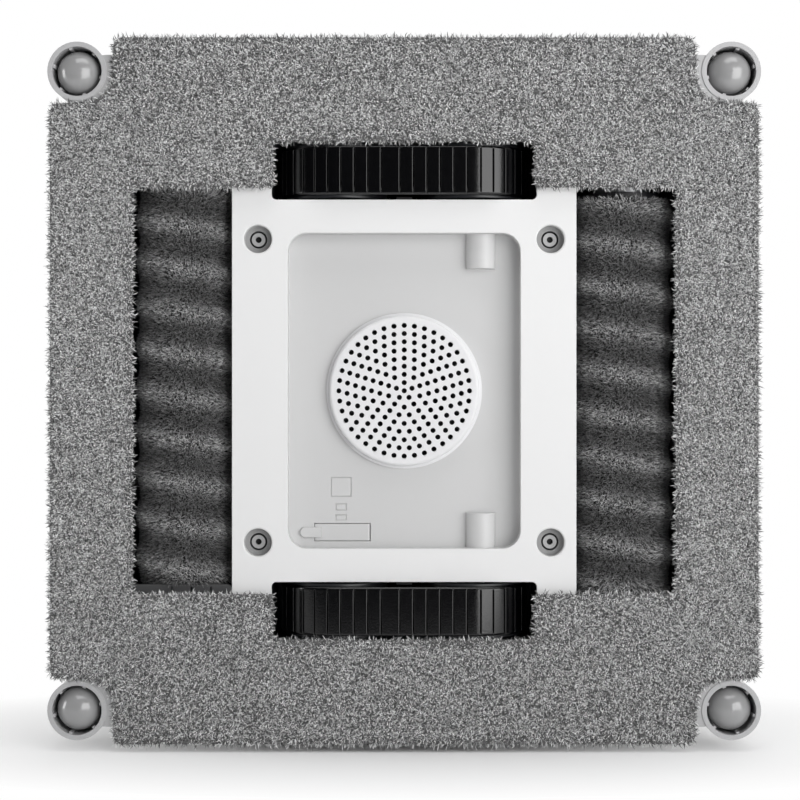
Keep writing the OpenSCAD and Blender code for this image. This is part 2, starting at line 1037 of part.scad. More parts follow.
module rope_eye() {
    hole_y = body_depth + foot_t + eye_h;
    color(steel)
        translate([eye_x, 0, fitting_z])
            difference() {
                union() {
                    slab(body_depth, body_depth + foot_t)
                        rounded(foot_w, foot_h, small_post_r);
                    translate([-eye_t / 2, body_depth + foot_t / 2, -eye_w / 2])
                        cube([eye_t, foot_t / 2 + eye_h, eye_w]);
                    translate([-eye_t / 2, hole_y, 0])
                        rotate([0, 90, 0])
                            cylinder(h = eye_t, r = eye_w / 2);
                }
                translate([-eye_t / 2 - over, hole_y, 0])
                    rotate([0, 90, 0])
                        cylinder(h = eye_t + 2 * over, r = rope_hole_r);
            }
}

module blower_gasket() {
    color(black)
        slab(tray_back, blower_y)
            ring(gasket_r, gasket_r - gasket_w);
}

module blower_housing() {
    color(black)
        difference() {
            rod_y(0, 0, blower_y, blower_back, blower_r);
            rod_y(0, 0, blower_y + blower_wall, blower_back - blower_wall, blower_r - blower_wall);
            rod_y(0, 0, blower_y - over, blower_y + blower_wall + over, blower_inlet_r);
            slab(blower_back - blower_wall - over, blower_back + over) {
                circle(shaft_hole_r);
                difference() {
                    for (i = [0:blower_slots - 1])
                        rotate(i * 360 / blower_slots)
                            translate([fan_motor_r + blower_wall, -blower_slot_w / 2])
                                square([blower_r, blower_slot_w]);
                    ring(2 * blower_r, blower_r - 2 * blower_wall);
                }
            }
        }
}

// Closed impeller: back disc, curved blades, front ring and hub
module impeller() {
    color(pale_grey)
        difference() {
            union() {
                slab(impeller_back - impeller_t, impeller_back)
                    circle(impeller_r);
                slab(impeller_front, impeller_front + impeller_t)
                    ring(impeller_r, eye_r);
                slab(impeller_front + impeller_t / 2, impeller_back - impeller_t / 2)
                    for (i = [0:blades - 1])
                        rotate(i * 360 / blades)
                            blade();
                rod_y(0, 0, impeller_front, impeller_back, hub_r);
            }
            rod_y(0, 0, impeller_front - over, impeller_back + over, fan_shaft_r);
        }
}

// One blade: the part of a thin arc that lies between hub and rim
module blade() {
    intersection() {
        translate([blade_r, 0])
            ring(blade_r + blade_t / 2, blade_r - blade_t / 2);
        ring(impeller_r - blade_t / 2, eye_r - blade_t);
        square([2 * blade_r, impeller_r]);
    }
}

module fan_shaft() {
    color(steel)
        rod_y(0, 0, impeller_front, blower_back + fan_shaft_in, fan_shaft_r);
}

module fan_motor() {
    color(steel)
        difference() {
            union() {
                rod_y(0, 0, blower_back, fan_motor_back - fan_motor_end, fan_motor_r);
                rod_y(0, 0, blower_back, fan_motor_back, fan_motor_r - fan_motor_end);
            }
            rod_y(0, 0, blower_back - over, blower_back + fan_shaft_in + over, fan_shaft_r + run);
        }
}

module main_board() {
    chip = 12;
    chip_t = 1.4;
    cap_d = 8;
    cap_tall = 7;
    plug_w = 14;
    plug_h = 5;
    row = [-36, -22, 22, 36];
    color(board_green)
        difference() {
            slab(board_y, board_y + board_t)
                translate([0, board_z])
                    rounded(board_w, board_h, small_post_r);
            corners_of_board()
                rod_y(0, 0, board_y - over, board_y + board_t, shank_r / 2);
        }
    color(black)
        slab(board_y - chip_t, board_y) {
            translate([0, board_z])
                square(chip, center = true);
            translate([2 * chip, board_z - chip / 2])
                square(chip / 2, center = true);
        }
    color(steel)
        for (x = [-chip, -2 * chip])
            rod_y(x, board_z - chip, board_y - cap_tall, board_y, cap_d / 2);
    color(white)
        slab(board_y - plug_h, board_y)
            for (x = row)
                translate([x, board_z + board_h / 2 - 2 * plug_h])
                    square([plug_w - small_post_r, plug_h], center = true);
}

module battery_cells() {
    color([0.15, 0.35, 0.6])
        for (x = [-cell_len - tip_h - cell_gap / 2, cell_gap / 2])
            for (up = [-1, 1])
                translate([x, cell_y, cells_z + up * (cell_r + cell_gap / 2)])
                    rotate([0, 90, 0]) {
                        cylinder(h = cell_len, r = cell_r);
                        cylinder(h = cell_len + tip_h, r = tip_r);
                    }
}

// Open tray with four ears that the cover's posts press on
module battery_holder() {
    color(black) {
        translate([0, 0, cells_z])
            difference() {
                slab(holder_y, holder_rim_y)
                    square([holder_w, holder_h], center = true);
                slab(holder_y + holder_wall, holder_rim_y + over)
                    square([holder_w - 2 * holder_wall, holder_h - 2 * holder_wall], center = true);
            }
        difference() {
            holder_ears()
                rod_y(0, 0, holder_rim_y - holder_ear_t, holder_rim_y, holder_ear_r);
            translate([0, 0, cells_z])
                slab(holder_y, holder_rim_y + over)
                    square([holder_w - holder_wall, holder_h], center = true);
        }
    }
}

// Turns the upper track's pieces round to the lower track
module lower_side() {
    rotate([0, 180, 0])
        children();
}

// Path round both wheels, at radius r
module stadium(r) {
    square([wheel_span, 2 * r], center = true);
    for (side = [-1, 1])
        translate([side * wheel_span / 2, 0])
            circle(r);
}

module track_well() {
    low = track_low - track_well_t;
    high = track_high + track_well_t;
    color(black)
        difference() {
            union() {
                translate([0, 0, (low + high) / 2])
                    slab(base_back, track_back + track_well_t)
                        rounded(2 * (track_half + track_well_t), high - low, track_r + track_well_t);
                translate([wheel_span / 2, wheel_y, low - axle_head_h])
                    cylinder(h = axle_head_h + over, r = axle_head_r + track_well_t);
            }
            difference() {
                translate([0, 0, (track_low + track_high) / 2])
                    slab(base_back - over, track_back)
                        rounded(2 * track_half, track_high - track_low, track_r);
                translate([-bridge_w / 2, base_back, track_low - over])
                    cube([bridge_w, track_back, bridge_t + over]);
            }
            translate([wheel_span / 2, wheel_y, low - over])
                cylinder(h = high - low + 2 * over, r = axle_r);
            translate([wheel_span / 2, wheel_y, low - axle_head_h - over])
                cylinder(h = axle_head_h + over, r = axle_head_r);
            translate([-wheel_span / 2, wheel_y, low - over])
                cylinder(h = high - low, r = shaft_r + run);
        }
}

module track_belt() {
    color(black)
        translate([0, wheel_y, track_z])
            difference() {
                translate([0, 0, -belt_w / 2])
                    linear_extrude(height = belt_w)
                        difference() {
                            stadium(belt_r);
                            stadium(belt_in_r);
                        }
                for (i = [0:lugs])
                    on_belt(joint_x + joint_lug + i * (belt_len - joint_lug) / lugs)
                        belt_groove();
            }
}

// Carries a drawing made for the middle of the front run along the belt by a distance
module on_belt(distance) {
    half = belt_len / 2;
    from_left = distance + wheel_span / 2;
    lap = floor(from_left / half);
    along = from_left - lap * half;
    rotate(180 * lap)
        translate([min(along, wheel_span) - wheel_span / 2, 0, 0])
            rotate(max(along - wheel_span, 0) / belt_r * 180 / PI)
                children();
}

module belt_groove() {
    translate([0, -belt_r, 0])
        cube([groove_w, 2 * groove_d, belt_w - 2 * belt_border], center = true);
}

module track_wheel(bore) {
    low = track_z - belt_w / 2;
    rim_r = belt_in_r - rim_gap;
    color(black)
        difference() {
            translate([0, 0, low - fit])
                cylinder(h = belt_w + 2 * fit, r = rim_r);
            for (side = [0, 1])
                translate([0, 0, side == 0 ? low - flange_t - over : track_z + web_t / 2])
                    cylinder(h = belt_w / 2 + flange_t + over - web_t / 2, r = rim_r - rim_t);
            wheel_holes();
            translate([0, 0, low - over])
                cylinder(h = belt_w + 2 * over, r = bore);
        }
    color(black)
        for (z = [low - fit - flange_t, low + belt_w + fit])
            translate([0, 0, z])
                linear_extrude(height = flange_t)
                    ring(flange_r, rim_r - rim_t);
    color(black)
        translate([0, 0, low - fit - flange_t])
            linear_extrude(height = belt_w + 2 * fit + 2 * flange_t)
                ring(wheel_hub_r, bore);
}

module wheel_holes() {
    for (i = [0:wheel_holes - 1])
        rotate(i * 360 / wheel_holes)
            translate([wheel_hole_at, 0, track_z - web_t])
                cylinder(h = 2 * web_t, r = wheel_hole_r);
}

module drive_wheel() {
    translate([-wheel_span / 2, wheel_y, 0])
        track_wheel(shaft_r);
}

module idler_wheel() {
    translate([wheel_span / 2, wheel_y, 0])
        track_wheel(axle_r + run);
}

module drive_shaft() {
    low = track_low - track_well_t - shaft_in;
    color(steel)
        translate([-wheel_span / 2, wheel_y, low])
            cylinder(h = track_high + track_well_t - fit - low - over, r = shaft_r);
}

module idler_axle() {
    low = track_low - track_well_t;
    color(steel)
        translate([wheel_span / 2, wheel_y, low]) {
            cylinder(h = track_high + track_well_t - low, r = axle_r);
            translate([0, 0, -axle_head_h])
                cylinder(h = axle_head_h, r = axle_head_r);
        }
}

// Gearbox against the well, with its motor lying along X
module track_motor() {
    low = track_low - track_well_t - gearbox_t;
    x = -wheel_span / 2;
    color(steel)
        difference() {
            union() {
                translate([x, wheel_y + (gearbox_back - gearbox_front) / 2, low])
                    linear_extrude(height = gearbox_t)
                        rounded(gearbox_w, gearbox_front + gearbox_back, gearbox_r);
                translate([x + gearbox_w / 2 - gearbox_r, can_y, track_low - track_well_t - can_drop])
                    rotate([0, 90, 0])
                        cylinder(h = can_len + gearbox_r, r = can_r);
            }
            translate([x, wheel_y, track_low - track_well_t - shaft_in - over])
                cylinder(h = shaft_in + 2 * over, r = shaft_r + run);
        }
}

// Roller pieces stand at the axis, with the low end of the pile at height 0
module at_roller(side) {
    translate([side * roller_x, 0, side < 0 ? left_z : right_z])
        children();
}

module roller_pile() {
    color(pile_grey)
        translate([0, roller_y, 0])
            rotate_extrude($fn = 96)
                translate([tube_r, 0])
                    intersection() {
                        square([roller_r - tube_r, roller_len]);
                        translate([0, roller_len / 2])
                            rounded(2 * (roller_r - tube_r), roller_len, pile_round);
                    }
}

module roller_tube() {
    hub_z = motor_face - hub_gap - hub_t;
    color(black)
        translate([0, roller_y, 0]) {
            difference() {
                cylinder(h = roller_len + tube_tail, r = tube_r);
                translate([0, 0, -over])
                    cylinder(h = roller_len + tube_tail + 2 * over, r = tube_in_r);
            }
            translate([0, 0, hub_z])
                cylinder(h = hub_t, r = tube_in_r + tube_wall / 2);
            translate([0, 0, hub_z + hub_t / 2])
                cylinder(h = roller_shaft_len + hub_t / 2, r = roller_shaft_r);
        }
}

// Plug in the low end of the tube, turning on its stub
module roller_cap() {
    color(pile_grey)
        translate([0, roller_y, 0]) {
            rotate_extrude($fn = 96)
                difference() {
                    translate([0, -cap_h])
                        capped_profile(cap_r, 0, cap_h, cap_edge);
                    translate([-cap_r, -2 * cap_h])
                        square([cap_r, 3 * cap_h]);
                }
            translate([0, 0, -cap_edge])
                cylinder(h = spigot_h, r = tube_in_r);
            translate([0, 0, cavity_low - roller_well_t])
                cylinder(h = spigot_h, r = stub_r);
        }
}

// Slotted strip that closes the window under the low end of each roller
module roller_guards() {
    w = window_out_x - window_in_x - 2 * fit;
    mid = (window_in_x + window_out_x) / 2;
    color(pile_grey)
        for (side = [-1, 1])
            translate([side * mid, 0, (side < 0 ? left_z : right_z) - soft_gap - guard_h / 2])
                slab(base_y + guard_set, base_back)
                    difference() {
                        rounded(w, guard_h, guard_r);
                        for (i = [0:guard_slots - 1])
                            translate([guard_slot_x + (i - 1) * guard_pitch, -guard_slot_end])
                                square([guard_slot_w, guard_h], center = true);
                    }
}

module roller_bush() {
    color(pale_grey)
        translate([0, roller_y, cavity_low - bush_len / 2 - roller_well_t / 2])
            linear_extrude(height = bush_len)
                ring(bush_r, stub_r + run);
}

module roller_motor() {
    color(steel)
        translate([0, roller_y, motor_face])
            difference() {
                cylinder(h = roller_motor_len, r = roller_motor_r);
                translate([0, 0, -over])
                    cylinder(h = roller_shaft_len, r = roller_shaft_r + run);
            }
}

// Trough that keeps the water off the inside, seen here for the right roller
module roller_well() {
    low = cavity_low - roller_well_t;
    high = cavity_high + roller_well_t;
    color(black)
        difference() {
            translate([0, 0, low])
                linear_extrude(height = high - low)
                    trough(roller_well_t);
            translate([0, 0, cavity_low])
                linear_extrude(height = cavity_high - cavity_low) {
                    trough(0);
                    translate([window_in_x - roller_x, base_back - over])
                        square([window_out_x - window_in_x, 2 * over]);
                }
            translate([0, roller_y, low - over])
                cylinder(h = 2 * roller_well_t, r = bush_r);
            translate([0, roller_y, cavity_high - over])
                cylinder(h = roller_well_t + 2 * over, r = wire_hole_r);
        }
}

// Section of the trough across the roller
module trough(grow) {
    in_x = window_in_x - roller_x - grow;
    out_x = window_out_x - roller_x + grow;
    difference() {
        union() {
            translate([in_x, base_back])
                square([out_x - in_x, roller_y - base_back]);
            translate([0, roller_y])
                circle(roller_r + roller_gap + grow);
        }
        translate([-roller_x, base_back - roller_x])
            square([2 * roller_x, roller_x]);
    }
}

// Cup with six guide ribs and a floor for the switch
module feeler_cup() {
    color(cup_grey) {
        slab(cup_rim_y, cup_back)
            ring(cup_r, cup_in_r);
        slab(cup_inside_y, cup_back)
            circle(cup_in_r + cup_wall / 2);
        slab(cup_rim_y + guide_front, cup_rim_y + guide_back)
            difference() {
                for (i = [0:guides - 1])
                    rotate(180 - guide_turn + i * 360 / guides)
                        translate([0, -guide_w / 2])
                            square([cup_in_r + cup_wall / 2, guide_w]);
                circle(dome_r + guide_gap);
            }
    }
}

module feeler_cups() {
    cup_webs();
    corners() {
        translate([cup_x, 0, cup_z])
            feeler_cup();
        color(cup_grey)
            slab(base_back + corner_floor, base_back + corner_floor + cup_flange_t)
                intersection() {
                    translate([cup_x, cup_z])
                        ring(cup_r + cup_flange_w, cup_in_r + cup_wall / 2);
                    body_outline(wall + fit);
                }
    }
}

// Webs that fill the body's corners between the cups and the pad
module cup_webs() {
    color(cup_grey)
        slab(cup_rim_y + web_set, base_back)
            difference() {
                intersection() {
                    body_outline();
                    quarters()
                        translate([body_w / 2 - corner_square, body_h / 2 - corner_square])
                            square(corner_square);
                }
                pad_outline(-soft_gap);
                quarters()
                    translate([cup_x, cup_z])
                        circle(cup_in_r + cup_wall / 2);
            }
}

// Hollow dome with a collar that the ribs hold back and a stem that presses the switch
module feeler_dome() {
    back = collar_y + collar_t;
    in_r = dome_r - dome_wall;
    color(steel)
        turned_y()
            intersection() {
                union() {
                    difference() {
                        union() {
                            translate([0, dome_y])
                                circle(dome_r);
                            translate([0, dome_y])
                                square([dome_r, back - dome_y]);
                        }
                        translate([0, dome_y])
                            circle(in_r);
                        translate([0, dome_y])
                            square([in_r, stem_end]);
                    }
                    translate([in_r, collar_y])
                        square([collar_r - in_r, collar_t]);
                    translate([0, dome_y - in_r - dome_wall / 2])
                        square([stem_r, stem_end - dome_y + in_r + dome_wall / 2]);
                }
                square([collar_r, stem_end]);
            }
}

module feeler_switches() {
    front = stem_end + dome_travel + switch_gap;
    color(black)
        corners()
            translate([cup_x, 0, cup_z]) {
                slab(front + switch_cap_h, cup_inside_y)
                    square(switch_w, center = true);
                rod_y(0, 0, front, front + 2 * switch_cap_h, switch_cap_r);
            }
}

// Points of the spring's section at turn a, drawn about the Y axis
function spring_ring(a, y0, rise) = [
    for (k = [0:spring_sides - 1])
        let (b = k * 360 / spring_sides, r = spring_r + spring_wire_r * cos(b))
            [r * cos(a), y0 + rise * a / 360 + spring_wire_r * sin(b), r * sin(a)]
];

// Helical spring between the dome's collar and the cup's floor
module feeler_spring() {
    y0 = collar_y + collar_t + spring_wire_r + fit;
    y1 = cup_inside_y - spring_wire_r - fit;
    rings = spring_turns * spring_rings;
    rise = (y1 - y0) / spring_turns;
    points = [
        for (i = [0:rings])
            each spring_ring(i * 360 / spring_rings, y0, rise)
    ];
    sides = [
        for (i = [0:rings - 1])
            for (k = [0:spring_sides - 1])
                let (a = i * spring_sides + k, b = i * spring_sides + (k + 1) % spring_sides)
                    each [[a, b, b + spring_sides], [a, b + spring_sides, a + spring_sides]]
    ];
    near = [[for (k = [0:spring_sides - 1]) spring_sides - 1 - k]];
    far = [[for (k = [0:spring_sides - 1]) rings * spring_sides + k]];
    color(steel)
        polyhedron(points = points, faces = concat(sides, near, far));
}

base_plate();
suction_tray();
fan_grille();
plate_screws();
feeler_cups();
top_cover();
exhaust_grille();
light_ring();
button_board();
service_port();
power_inlet();
rope_eye();
blower_housing();
blower_gasket();
fan_motor();
main_board();
battery_cells();
battery_holder();
track_motor();  // track_motor_upper
lower_side() track_motor();  // track_motor_lower
track_belt();  // track_belt_upper
mirror([0, 0, 1]) track_belt();  // track_belt_lower
track_well();  // track_well_upper
lower_side() track_well();  // track_well_lower
idler_axle();  // idler_axle_upper
lower_side() idler_axle();  // idler_axle_lower
at_roller(-1) mirror([1, 0, 0]) roller_well();  // roller_well_left
at_roller(1) roller_well();  // roller_well_right
at_roller(-1) roller_motor();  // roller_motor_left
at_roller(1) roller_motor();  // roller_motor_right
at_roller(-1) roller_bush();  // roller_bush_left
at_roller(1) roller_bush();  // roller_bush_right
roller_guards();
cleaning_pad();
hook_tape();
feeler_switches();
impeller();
fan_shaft();
start_button();
port_flap();
drive_wheel();  // drive_wheel_upper
lower_side() drive_wheel();  // drive_wheel_lower
idler_wheel();  // idler_wheel_upper
lower_side() idler_wheel();  // idler_wheel_lower
drive_shaft();  // drive_shaft_upper
lower_side() drive_shaft();  // drive_shaft_lower
at_roller(-1) roller_tube();  // roller_tube_left
at_roller(1) roller_tube();  // roller_tube_right
at_roller(-1) roller_pile();  // roller_pile_left
at_roller(1) roller_pile();  // roller_pile_right
at_roller(-1) roller_cap();  // roller_cap_left
at_roller(1) roller_cap();  // roller_cap_right
at_cup(-1, 1) feeler_dome();  // feeler_dome_upper_left
at_cup(1, 1) feeler_dome();  // feeler_dome_upper_right
at_cup(-1, -1) feeler_dome();  // feeler_dome_lower_left
at_cup(1, -1) feeler_dome();  // feeler_dome_lower_right
at_cup(-1, 1) feeler_spring();  // feeler_spring_upper_left
at_cup(1, 1) feeler_spring();  // feeler_spring_upper_right
at_cup(-1, -1) feeler_spring();  // feeler_spring_lower_left
at_cup(1, -1) feeler_spring();  // feeler_spring_lower_right
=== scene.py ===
"""Looks of the window cleaning robot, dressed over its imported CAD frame.

Metres throughout, X right and Z up as seen from the glass side, Y away from the pane.
"""
import math

import bpy
import numpy as np
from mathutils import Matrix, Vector


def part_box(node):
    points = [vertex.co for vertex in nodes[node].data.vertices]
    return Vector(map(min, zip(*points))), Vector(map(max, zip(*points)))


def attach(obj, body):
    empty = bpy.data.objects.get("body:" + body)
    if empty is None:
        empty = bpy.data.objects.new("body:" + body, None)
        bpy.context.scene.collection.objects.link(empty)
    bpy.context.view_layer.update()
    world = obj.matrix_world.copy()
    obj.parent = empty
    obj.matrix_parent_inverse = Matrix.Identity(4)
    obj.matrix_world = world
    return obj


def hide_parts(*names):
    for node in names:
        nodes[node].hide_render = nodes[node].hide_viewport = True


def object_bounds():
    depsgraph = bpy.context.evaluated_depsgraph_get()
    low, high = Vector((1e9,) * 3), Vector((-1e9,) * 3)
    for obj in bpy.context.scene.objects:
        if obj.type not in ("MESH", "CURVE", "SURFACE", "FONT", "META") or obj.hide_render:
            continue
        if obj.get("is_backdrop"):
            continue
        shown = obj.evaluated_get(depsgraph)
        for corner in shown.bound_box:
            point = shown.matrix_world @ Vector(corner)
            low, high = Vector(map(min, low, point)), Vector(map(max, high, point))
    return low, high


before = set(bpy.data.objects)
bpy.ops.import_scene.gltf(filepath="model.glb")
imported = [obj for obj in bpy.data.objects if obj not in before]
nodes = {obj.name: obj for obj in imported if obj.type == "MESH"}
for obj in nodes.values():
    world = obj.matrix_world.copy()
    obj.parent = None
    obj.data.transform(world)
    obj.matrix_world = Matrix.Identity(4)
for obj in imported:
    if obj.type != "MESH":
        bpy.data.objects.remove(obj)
cad_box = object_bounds()


# Camera and lamps: a long lens that looks straight at the glass side, with a large soft box on the
# right, a narrow one far round on the left, a wide one above and one behind for the cover.
CAMERA_AWAY = 0.7
cam_data = bpy.data.cameras.new("camera")
cam_data.lens = 90
cam_data.sensor_width = 36
cam_data.shift_x = -0.00525
cam_data.shift_y = -0.0115
cam = bpy.data.objects.new("camera", cam_data)
cam.location = (0, -CAMERA_AWAY, 0)
cam.rotation_euler = (math.pi / 2, 0, 0)
bpy.context.scene.collection.objects.link(cam)
bpy.context.scene.camera = cam
bpy.context.scene.view_settings.view_transform = "Standard"


def lamp(name, place, width, height, power):
    """A soft box that points at the robot: its -Z axis runs from its place to the origin."""
    data = bpy.data.lights.new(name, "AREA")
    data.shape = "RECTANGLE"
    data.size = width
    data.size_y = height
    data.energy = power
    obj = bpy.data.objects.new(name, data)
    obj.location = place
    obj.rotation_euler = (-Vector(place)).to_track_quat("-Z", "Y").to_euler()
    bpy.context.scene.collection.objects.link(obj)
    return obj


lamp("right", (0.7, -0.86, -0.05), 1.0, 1.3, 14.5)
lamp("left", (-1.1, -0.03, 0.0), 0.5, 0.7, 5.4)
lamp("top", (0.15, -0.35, 1.05), 1.0, 0.5, 3.8)
lamp("back", (0.3, 0.95, 0.6), 1.4, 1.4, 6.4)


# Studio room: pale and even for soft light, with a white backdrop that the camera and shiny pieces see
# behind the robot. What a shiny piece mirrors from the camera's side is dark.

class Field:
    """A number that varies over a surface. Sums and products of fields and numbers add Math nodes."""

    def __init__(self, tree, socket):
        self.tree = tree
        self.socket = socket

    def math(self, operation, other=0.0, swap=False):
        """One Math node on this field and another field or number, in the other order with swap."""
        made = self.tree.nodes.new("ShaderNodeMath")
        made.operation = operation
        for place, value in zip(made.inputs, (other, self) if swap else (self, other)):
            if isinstance(value, Field):
                self.tree.links.new(value.socket, place)
            else:
                place.default_value = value
        return Field(self.tree, made.outputs[0])

    def __add__(self, other):
        return self.math("ADD", other)

    def __sub__(self, other):
        return self.math("SUBTRACT", other)

    def __mul__(self, other):
        return self.math("MULTIPLY", other)

    def __truediv__(self, other):
        return self.math("DIVIDE", other)

    def __rsub__(self, other):
        return self.math("SUBTRACT", other, swap=True)

    __radd__ = __add__
    __rmul__ = __mul__

    def clamp(self, low, high):
        """The field, but never less than low or more than high."""
        return self.math("MAXIMUM", low).math("MINIMUM", high)


world = bpy.data.worlds.new("studio")
bpy.context.scene.world = world
world.use_nodes = True
tree = world.node_tree
sky = tree.nodes["Background"]
sky.inputs[0].default_value = (0.95, 0.95, 0.96, 1)
white = tree.nodes.new("ShaderNodeBackground")
white.inputs[0].default_value = (1, 1, 1, 1)
path = tree.nodes.new("ShaderNodeLightPath")
ray_kinds = ("Is Camera Ray", "Is Glossy Ray", "Is Transmission Ray")
camera_ray, glossy_ray, clear_ray = (Field(tree, path.outputs[kind]) for kind in ray_kinds)
ray_y = tree.nodes.new("ShaderNodeSeparateXYZ")
tree.links.new(tree.nodes.new("ShaderNodeTexCoord").outputs["Generated"], ray_y.inputs[0])
BACKDROP_SLOPE, BACKDROP_SHARE = 1.6, 0.1
ahead = (Field(tree, ray_y.outputs[1]) * BACKDROP_SLOPE + BACKDROP_SHARE).clamp(0.0, 1.0)
ROOM_STRENGTH, MIRROR_LOSS = 0.27, 0.24
tree.links.new((ROOM_STRENGTH - glossy_ray * MIRROR_LOSS).socket, sky.inputs[1])
choose = tree.nodes.new("ShaderNodeMixShader")
sees_white = (camera_ray + glossy_ray * ahead + clear_ray).clamp(0.0, 1.0)
tree.links.new(sees_white.socket, choose.inputs[0])
tree.links.new(sky.outputs[0], choose.inputs[1])
tree.links.new(white.outputs[0], choose.inputs[2])
tree.links.new(choose.outputs[0], tree.nodes["World Output"].inputs[0])


# Floor: a sheet of white paper just below the longest pile. It ends shortly in front of the robot, so
# that black rubber mirrors the dark side of the room. Away from the robot the camera sees it as plain
# white, and close to the robot it keeps the soft shadow.
MM = 0.001


class Finish:
    """One procedural material: a Principled surface, and the fields that are wired into it."""

    def __init__(self, name, colour, rough, **constant):
        self.mat = bpy.data.materials.new(name)
        self.mat.use_nodes = True
        self.tree = self.mat.node_tree
        self.surface = self.tree.nodes["Principled BSDF"]
        self.surface.inputs["Base Color"].default_value = (*colour, 1)
        self.surface.inputs["Roughness"].default_value = rough
        for key, value in constant.items():
            self.surface.inputs[key.replace("_", " ")].default_value = value
        self.place = self.node("ShaderNodeTexCoord").outputs["Object"]

    def node(self, kind, inputs=None, **settings):
        """Adds a node; inputs are numbers, fields or sockets by input name."""
        made = self.tree.nodes.new(kind)
        for key, value in settings.items():
            setattr(made, key, value)
        for key, value in (inputs or {}).items():
            source = value.socket if isinstance(value, Field) else value
            if isinstance(source, bpy.types.NodeSocket):
                self.tree.links.new(source, made.inputs[key])
            else:
                made.inputs[key].default_value = source
        return made

    def stretched(self, x, y, z):
        """Place on the piece times a factor for each axis."""
        return self.node("ShaderNodeMapping", {"Vector": self.place, "Scale": (x, y, z)}).outputs[0]

    def noise(self, scale, detail=2.0, at=None):
        """Smooth noise from 0 to 1, with scale waves to the metre."""
        inputs = {"Vector": at or self.place, "Scale": scale, "Detail": detail}
        return Field(self.tree, self.node("ShaderNodeTexNoise", inputs).outputs[0])

    def attribute(self, name):
        """A number that the mesh carries at its points."""
        return Field(self.tree, self.node("ShaderNodeAttribute", attribute_name=name).outputs["Fac"])

    def colour(self, low, high, by):
        """Base colour runs from low to high as the field goes from 0 to 1."""
        mix = self.node("ShaderNodeMix", {0: by}, data_type="RGBA")
        mix.inputs[6].default_value = (*low, 1)
        mix.inputs[7].default_value = (*high, 1)
        self.tree.links.new(mix.outputs[2], self.surface.inputs["Base Color"])
        return self

    def rough(self, field):
        """Roughness follows the field."""
        self.tree.links.new(field.socket, self.surface.inputs["Roughness"])
        return self

    def bump(self, height, distance, edge=0.0):
        """Bump of a height field; edge rounds the shading of sharp edges by that radius."""
        made = self.node("ShaderNodeBump", {"Height": height, "Distance": distance, "Strength": 1.0})
        if edge:
            soft = self.node("ShaderNodeBevel", {"Radius": edge}, samples=4)
            self.tree.links.new(soft.outputs[0], made.inputs["Normal"])
        self.tree.links.new(made.outputs[0], self.surface.inputs["Normal"])
        return self

    def on(self, *names):
        """Puts the material on CAD nodes."""
        for name in names:
            nodes[name].data.materials.clear()
            nodes[name].data.materials.append(self.mat)
        return self


PILE_BELOW, FLOOR_SIDE, FLOOR_FRONT = 2.6 * MM, 2.0, -0.3
floor_z = cad_box[0][2] - PILE_BELOW
floor_mesh = bpy.data.meshes.new("floor")
front = [(x, FLOOR_FRONT, floor_z) for x in (-FLOOR_SIDE, FLOOR_SIDE)]
far_side = [(x, FLOOR_SIDE, floor_z) for x in (FLOOR_SIDE, -FLOOR_SIDE)]
floor_mesh.from_pydata(front + far_side, [], [(0, 1, 2, 3)])
floor = bpy.data.objects.new("floor", floor_mesh)
bpy.context.scene.collection.objects.link(floor)
paper = Finish("floor_paper", (0.9, 0.9, 0.9), 0.9)
apart = paper.node("ShaderNodeSeparateXYZ", {"Vector": paper.place})
px, py = (Field(paper.tree, apart.outputs[i]) for i in (0, 1))
MID_DEPTH, SHADOW_IN, SHADOW_FADE = 0.04, 0.05, 0.13
away = (px * px * 0.6 + (py - MID_DEPTH) * (py - MID_DEPTH) * 2.2).math("SQRT")
far = ((away - SHADOW_IN) / SHADOW_FADE).clamp(0.0, 1.0)
glow = paper.node("ShaderNodeEmission", {"Color": (1, 1, 1, 1), "Strength": 1.0})
ray = Field(paper.tree, paper.node("ShaderNodeLightPath").outputs["Is Camera Ray"])
blended = {0: far * ray, 1: paper.surface.outputs[0], 2: glow.outputs[0]}
faded = paper.node("ShaderNodeMixShader", blended)
paper.tree.links.new(faded.outputs[0], paper.tree.nodes["Material Output"].inputs[0])
floor_mesh.materials.append(paper.mat)
floor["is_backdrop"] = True


# Top cover and start button: injection-moulded white ABS with a fine spark-eroded grain and softly
# broken edges. The plate's four screws hold the cover. The button slides inside the light ring, and a
# collar behind it keeps it in.
shell = Finish("white_abs", (0.79, 0.79, 0.79), 0.38, Specular_IOR_Level=0.45)
shell.rough(shell.noise(900, 3) * 0.1 + 0.33)
shell.bump(shell.noise(2600, 2) * 0.5 + shell.noise(60, 1) * 0.3, 0.02 * MM, edge=0.35 * MM)
shell.on("top_cover", "start_button")

# Base plate and its four screws: a white ABS moulding, and zinc-plated screws sunk in counterbores.
# The counterbores, the seam round each head, its edge and its socket are darkened here by their
# distance from the screw's axis, because the photograph has them darker than these lamps leave them.
HEAD_R, SOCKET_R, HEAD_EDGE_R, SEAM_R, BORE_R = (v * MM for v in (2.65, 1.02, 2.5, 3.1, 4.95))
screw_low, screw_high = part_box("plate_screws")
SCREW_X = (screw_high[0] - screw_low[0]) / 2 - HEAD_R
SCREW_Z = (screw_high[2] - screw_low[2]) / 2 - HEAD_R


def screw_distance(finish):
    """Distance from the nearest screw's axis: the root of (|x| - SCREW_X)^2 + (|z| - SCREW_Z)^2."""
    apart = finish.node("ShaderNodeSeparateXYZ", {"Vector": finish.place})
    x, z = (Field(finish.tree, apart.outputs[i]) for i in (0, 2))
    dx = x.math("ABSOLUTE") - SCREW_X
    dz = z.math("ABSOLUTE") - SCREW_Z
    return (dx * dx + dz * dz).math("SQRT")


